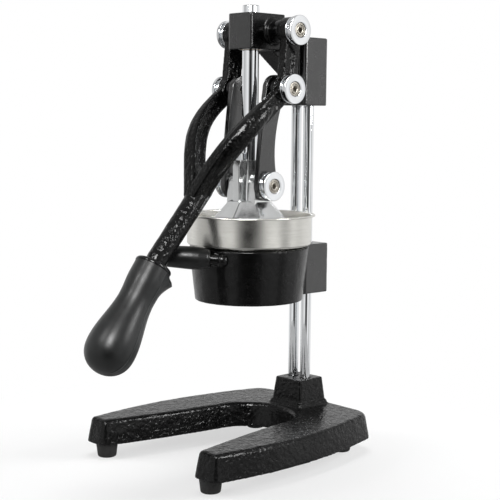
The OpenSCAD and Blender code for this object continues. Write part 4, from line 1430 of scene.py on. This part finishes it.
# %% World
room_bands = [
    (-180, 0.8), (-125, 0.9), (-104, 0.56), (-84, 0.52), (-60, 0.75), (-30, 0.95), (-19, 0.30), (-9, 0.02),
    (9, 0.02), (20, 0.25), (32, 0.9), (56, 1.0), (66, 0.35), (74, 0.45), (86, 1.0), (105, 0.7), (125, 0.95),
    (180, 0.8)]
room_heights = [(-1.0, 0.15), (-0.5, 0.2), (-0.25, 1.0), (0.28, 1.0), (0.48, 0.45), (0.66, 0.75), (1.0, 0.7)]
ceiling_level = 0.55
ceiling_start = 0.6
ceiling_full = 0.93
ambient_level = 0.05


def ramp(tree, value, stops):
    """Brightness read from a list of places and levels, for a value from 0 to 1."""
    node = add_node(tree, "ShaderNodeValToRGB", Fac=value)
    elements = node.color_ramp.elements
    for i, (place, level) in enumerate(stops):
        stop = elements[i] if i < 2 else elements.new(place)
        stop.position = place
        stop.color = (level, level, level, 1)
    return node.outputs[0]


def room_light():
    world = bpy.data.worlds.new("studio")
    world.use_nodes = True
    bpy.context.scene.world = world
    tree = world.node_tree
    back = tree.nodes["Background"]
    aim = add_node(tree, "ShaderNodeTexCoord").outputs["Generated"]
    facing = add_node(tree, "ShaderNodeVectorRotate", {"rotation_type": "Z_AXIS"}, Vector=aim,
                      Angle=-camera_compass)
    part = add_node(tree, "ShaderNodeSeparateXYZ", Vector=facing.outputs[0])
    angle = math_node(tree, "ARCTAN2", part.outputs["Y"], part.outputs["X"])
    turn_share = math_node(tree, "ADD", math_node(tree, "DIVIDE", angle, 2 * math.pi), 0.5)
    bands = ramp(tree, turn_share, [((degrees + 180) / 360, level) for degrees, level in room_bands])
    height_share = math_node(tree, "ADD", math_node(tree, "MULTIPLY", part.outputs["Z"], 0.5), 0.5)
    shelf = ramp(tree, height_share, [((z + 1) / 2, level) for z, level in room_heights])
    walls = math_node(tree, "MULTIPLY", bands, shelf)
    overhead = spread(tree, part.outputs["Z"], 0.0, 1.0, ceiling_start, ceiling_full,
                      interpolation_type="SMOOTHSTEP")
    in_mirrors = mix_of(tree, "FLOAT", overhead, walls, ceiling_level)
    path = add_node(tree, "ShaderNodeLightPath")
    unseen = mix_of(tree, "FLOAT", path.outputs["Is Glossy Ray"], ambient_level, in_mirrors)
    tree.links.new(mix_of(tree, "FLOAT", path.outputs["Is Camera Ray"], unseen, 1.0), back.inputs["Color"])
    back.inputs["Strength"].default_value = 1.0
    return world


print("world:", room_light().name, "with", len(room_bands), "bands")

# %% [markdown]
# The soft boxes stand beside the juicer, not in front of it. The two large ones and the overhead
# one only light the paint, because the world already draws their mirror images. The three small
# ones are the other way round: they show in the gloss alone, and they throw the sparks on the
# rippled enamel.

# %% Soft boxes
lamp_aim = Vector((0, 0, 0.22))


def soft_box(name, degrees, distance, height, size, power, sparks=False):
    """Lamp at an angle to the right of the camera's direction, aimed at the juicer's middle."""
    data = bpy.data.lights.new(name, "AREA")
    data.shape = "RECTANGLE"
    data.size, data.size_y = size
    data.energy = power
    lamp = linked(name, data)
    compass = camera_compass + math.radians(degrees)
    lamp.location = (distance * math.cos(compass), distance * math.sin(compass), height)
    lamp.rotation_euler = (lamp_aim - lamp.location).to_track_quat("-Z", "Y").to_euler()
    lamp.visible_glossy = sparks
    lamp.visible_diffuse = not sparks
    print(name, "at", [round(c, 2) for c in lamp.location], "power", power)


soft_box("right_box", degrees=98, distance=1.3, height=0.5, size=(0.7, 0.9), power=24)
soft_box("left_box", degrees=-96, distance=1.3, height=0.6, size=(0.7, 0.9), power=17)
soft_box("top_box", degrees=180, distance=0.4, height=1.5, size=(0.9, 0.9), power=14)
soft_box("left_spark", degrees=-48, distance=0.95, height=1.05, size=(0.2, 0.2), power=4.5, sparks=True)
soft_box("front_spark", degrees=-6, distance=1.05, height=0.94, size=(0.4, 0.4), power=20.0, sparks=True)
soft_box("right_spark", degrees=66, distance=1.0, height=0.62, size=(0.16, 0.4), power=6.0, sparks=True)

# %% [markdown]
# ## Closing
#
# The picture is shown as it is computed, with no film curve.

# %% View
bpy.context.scene.view_settings.view_transform = "Standard"
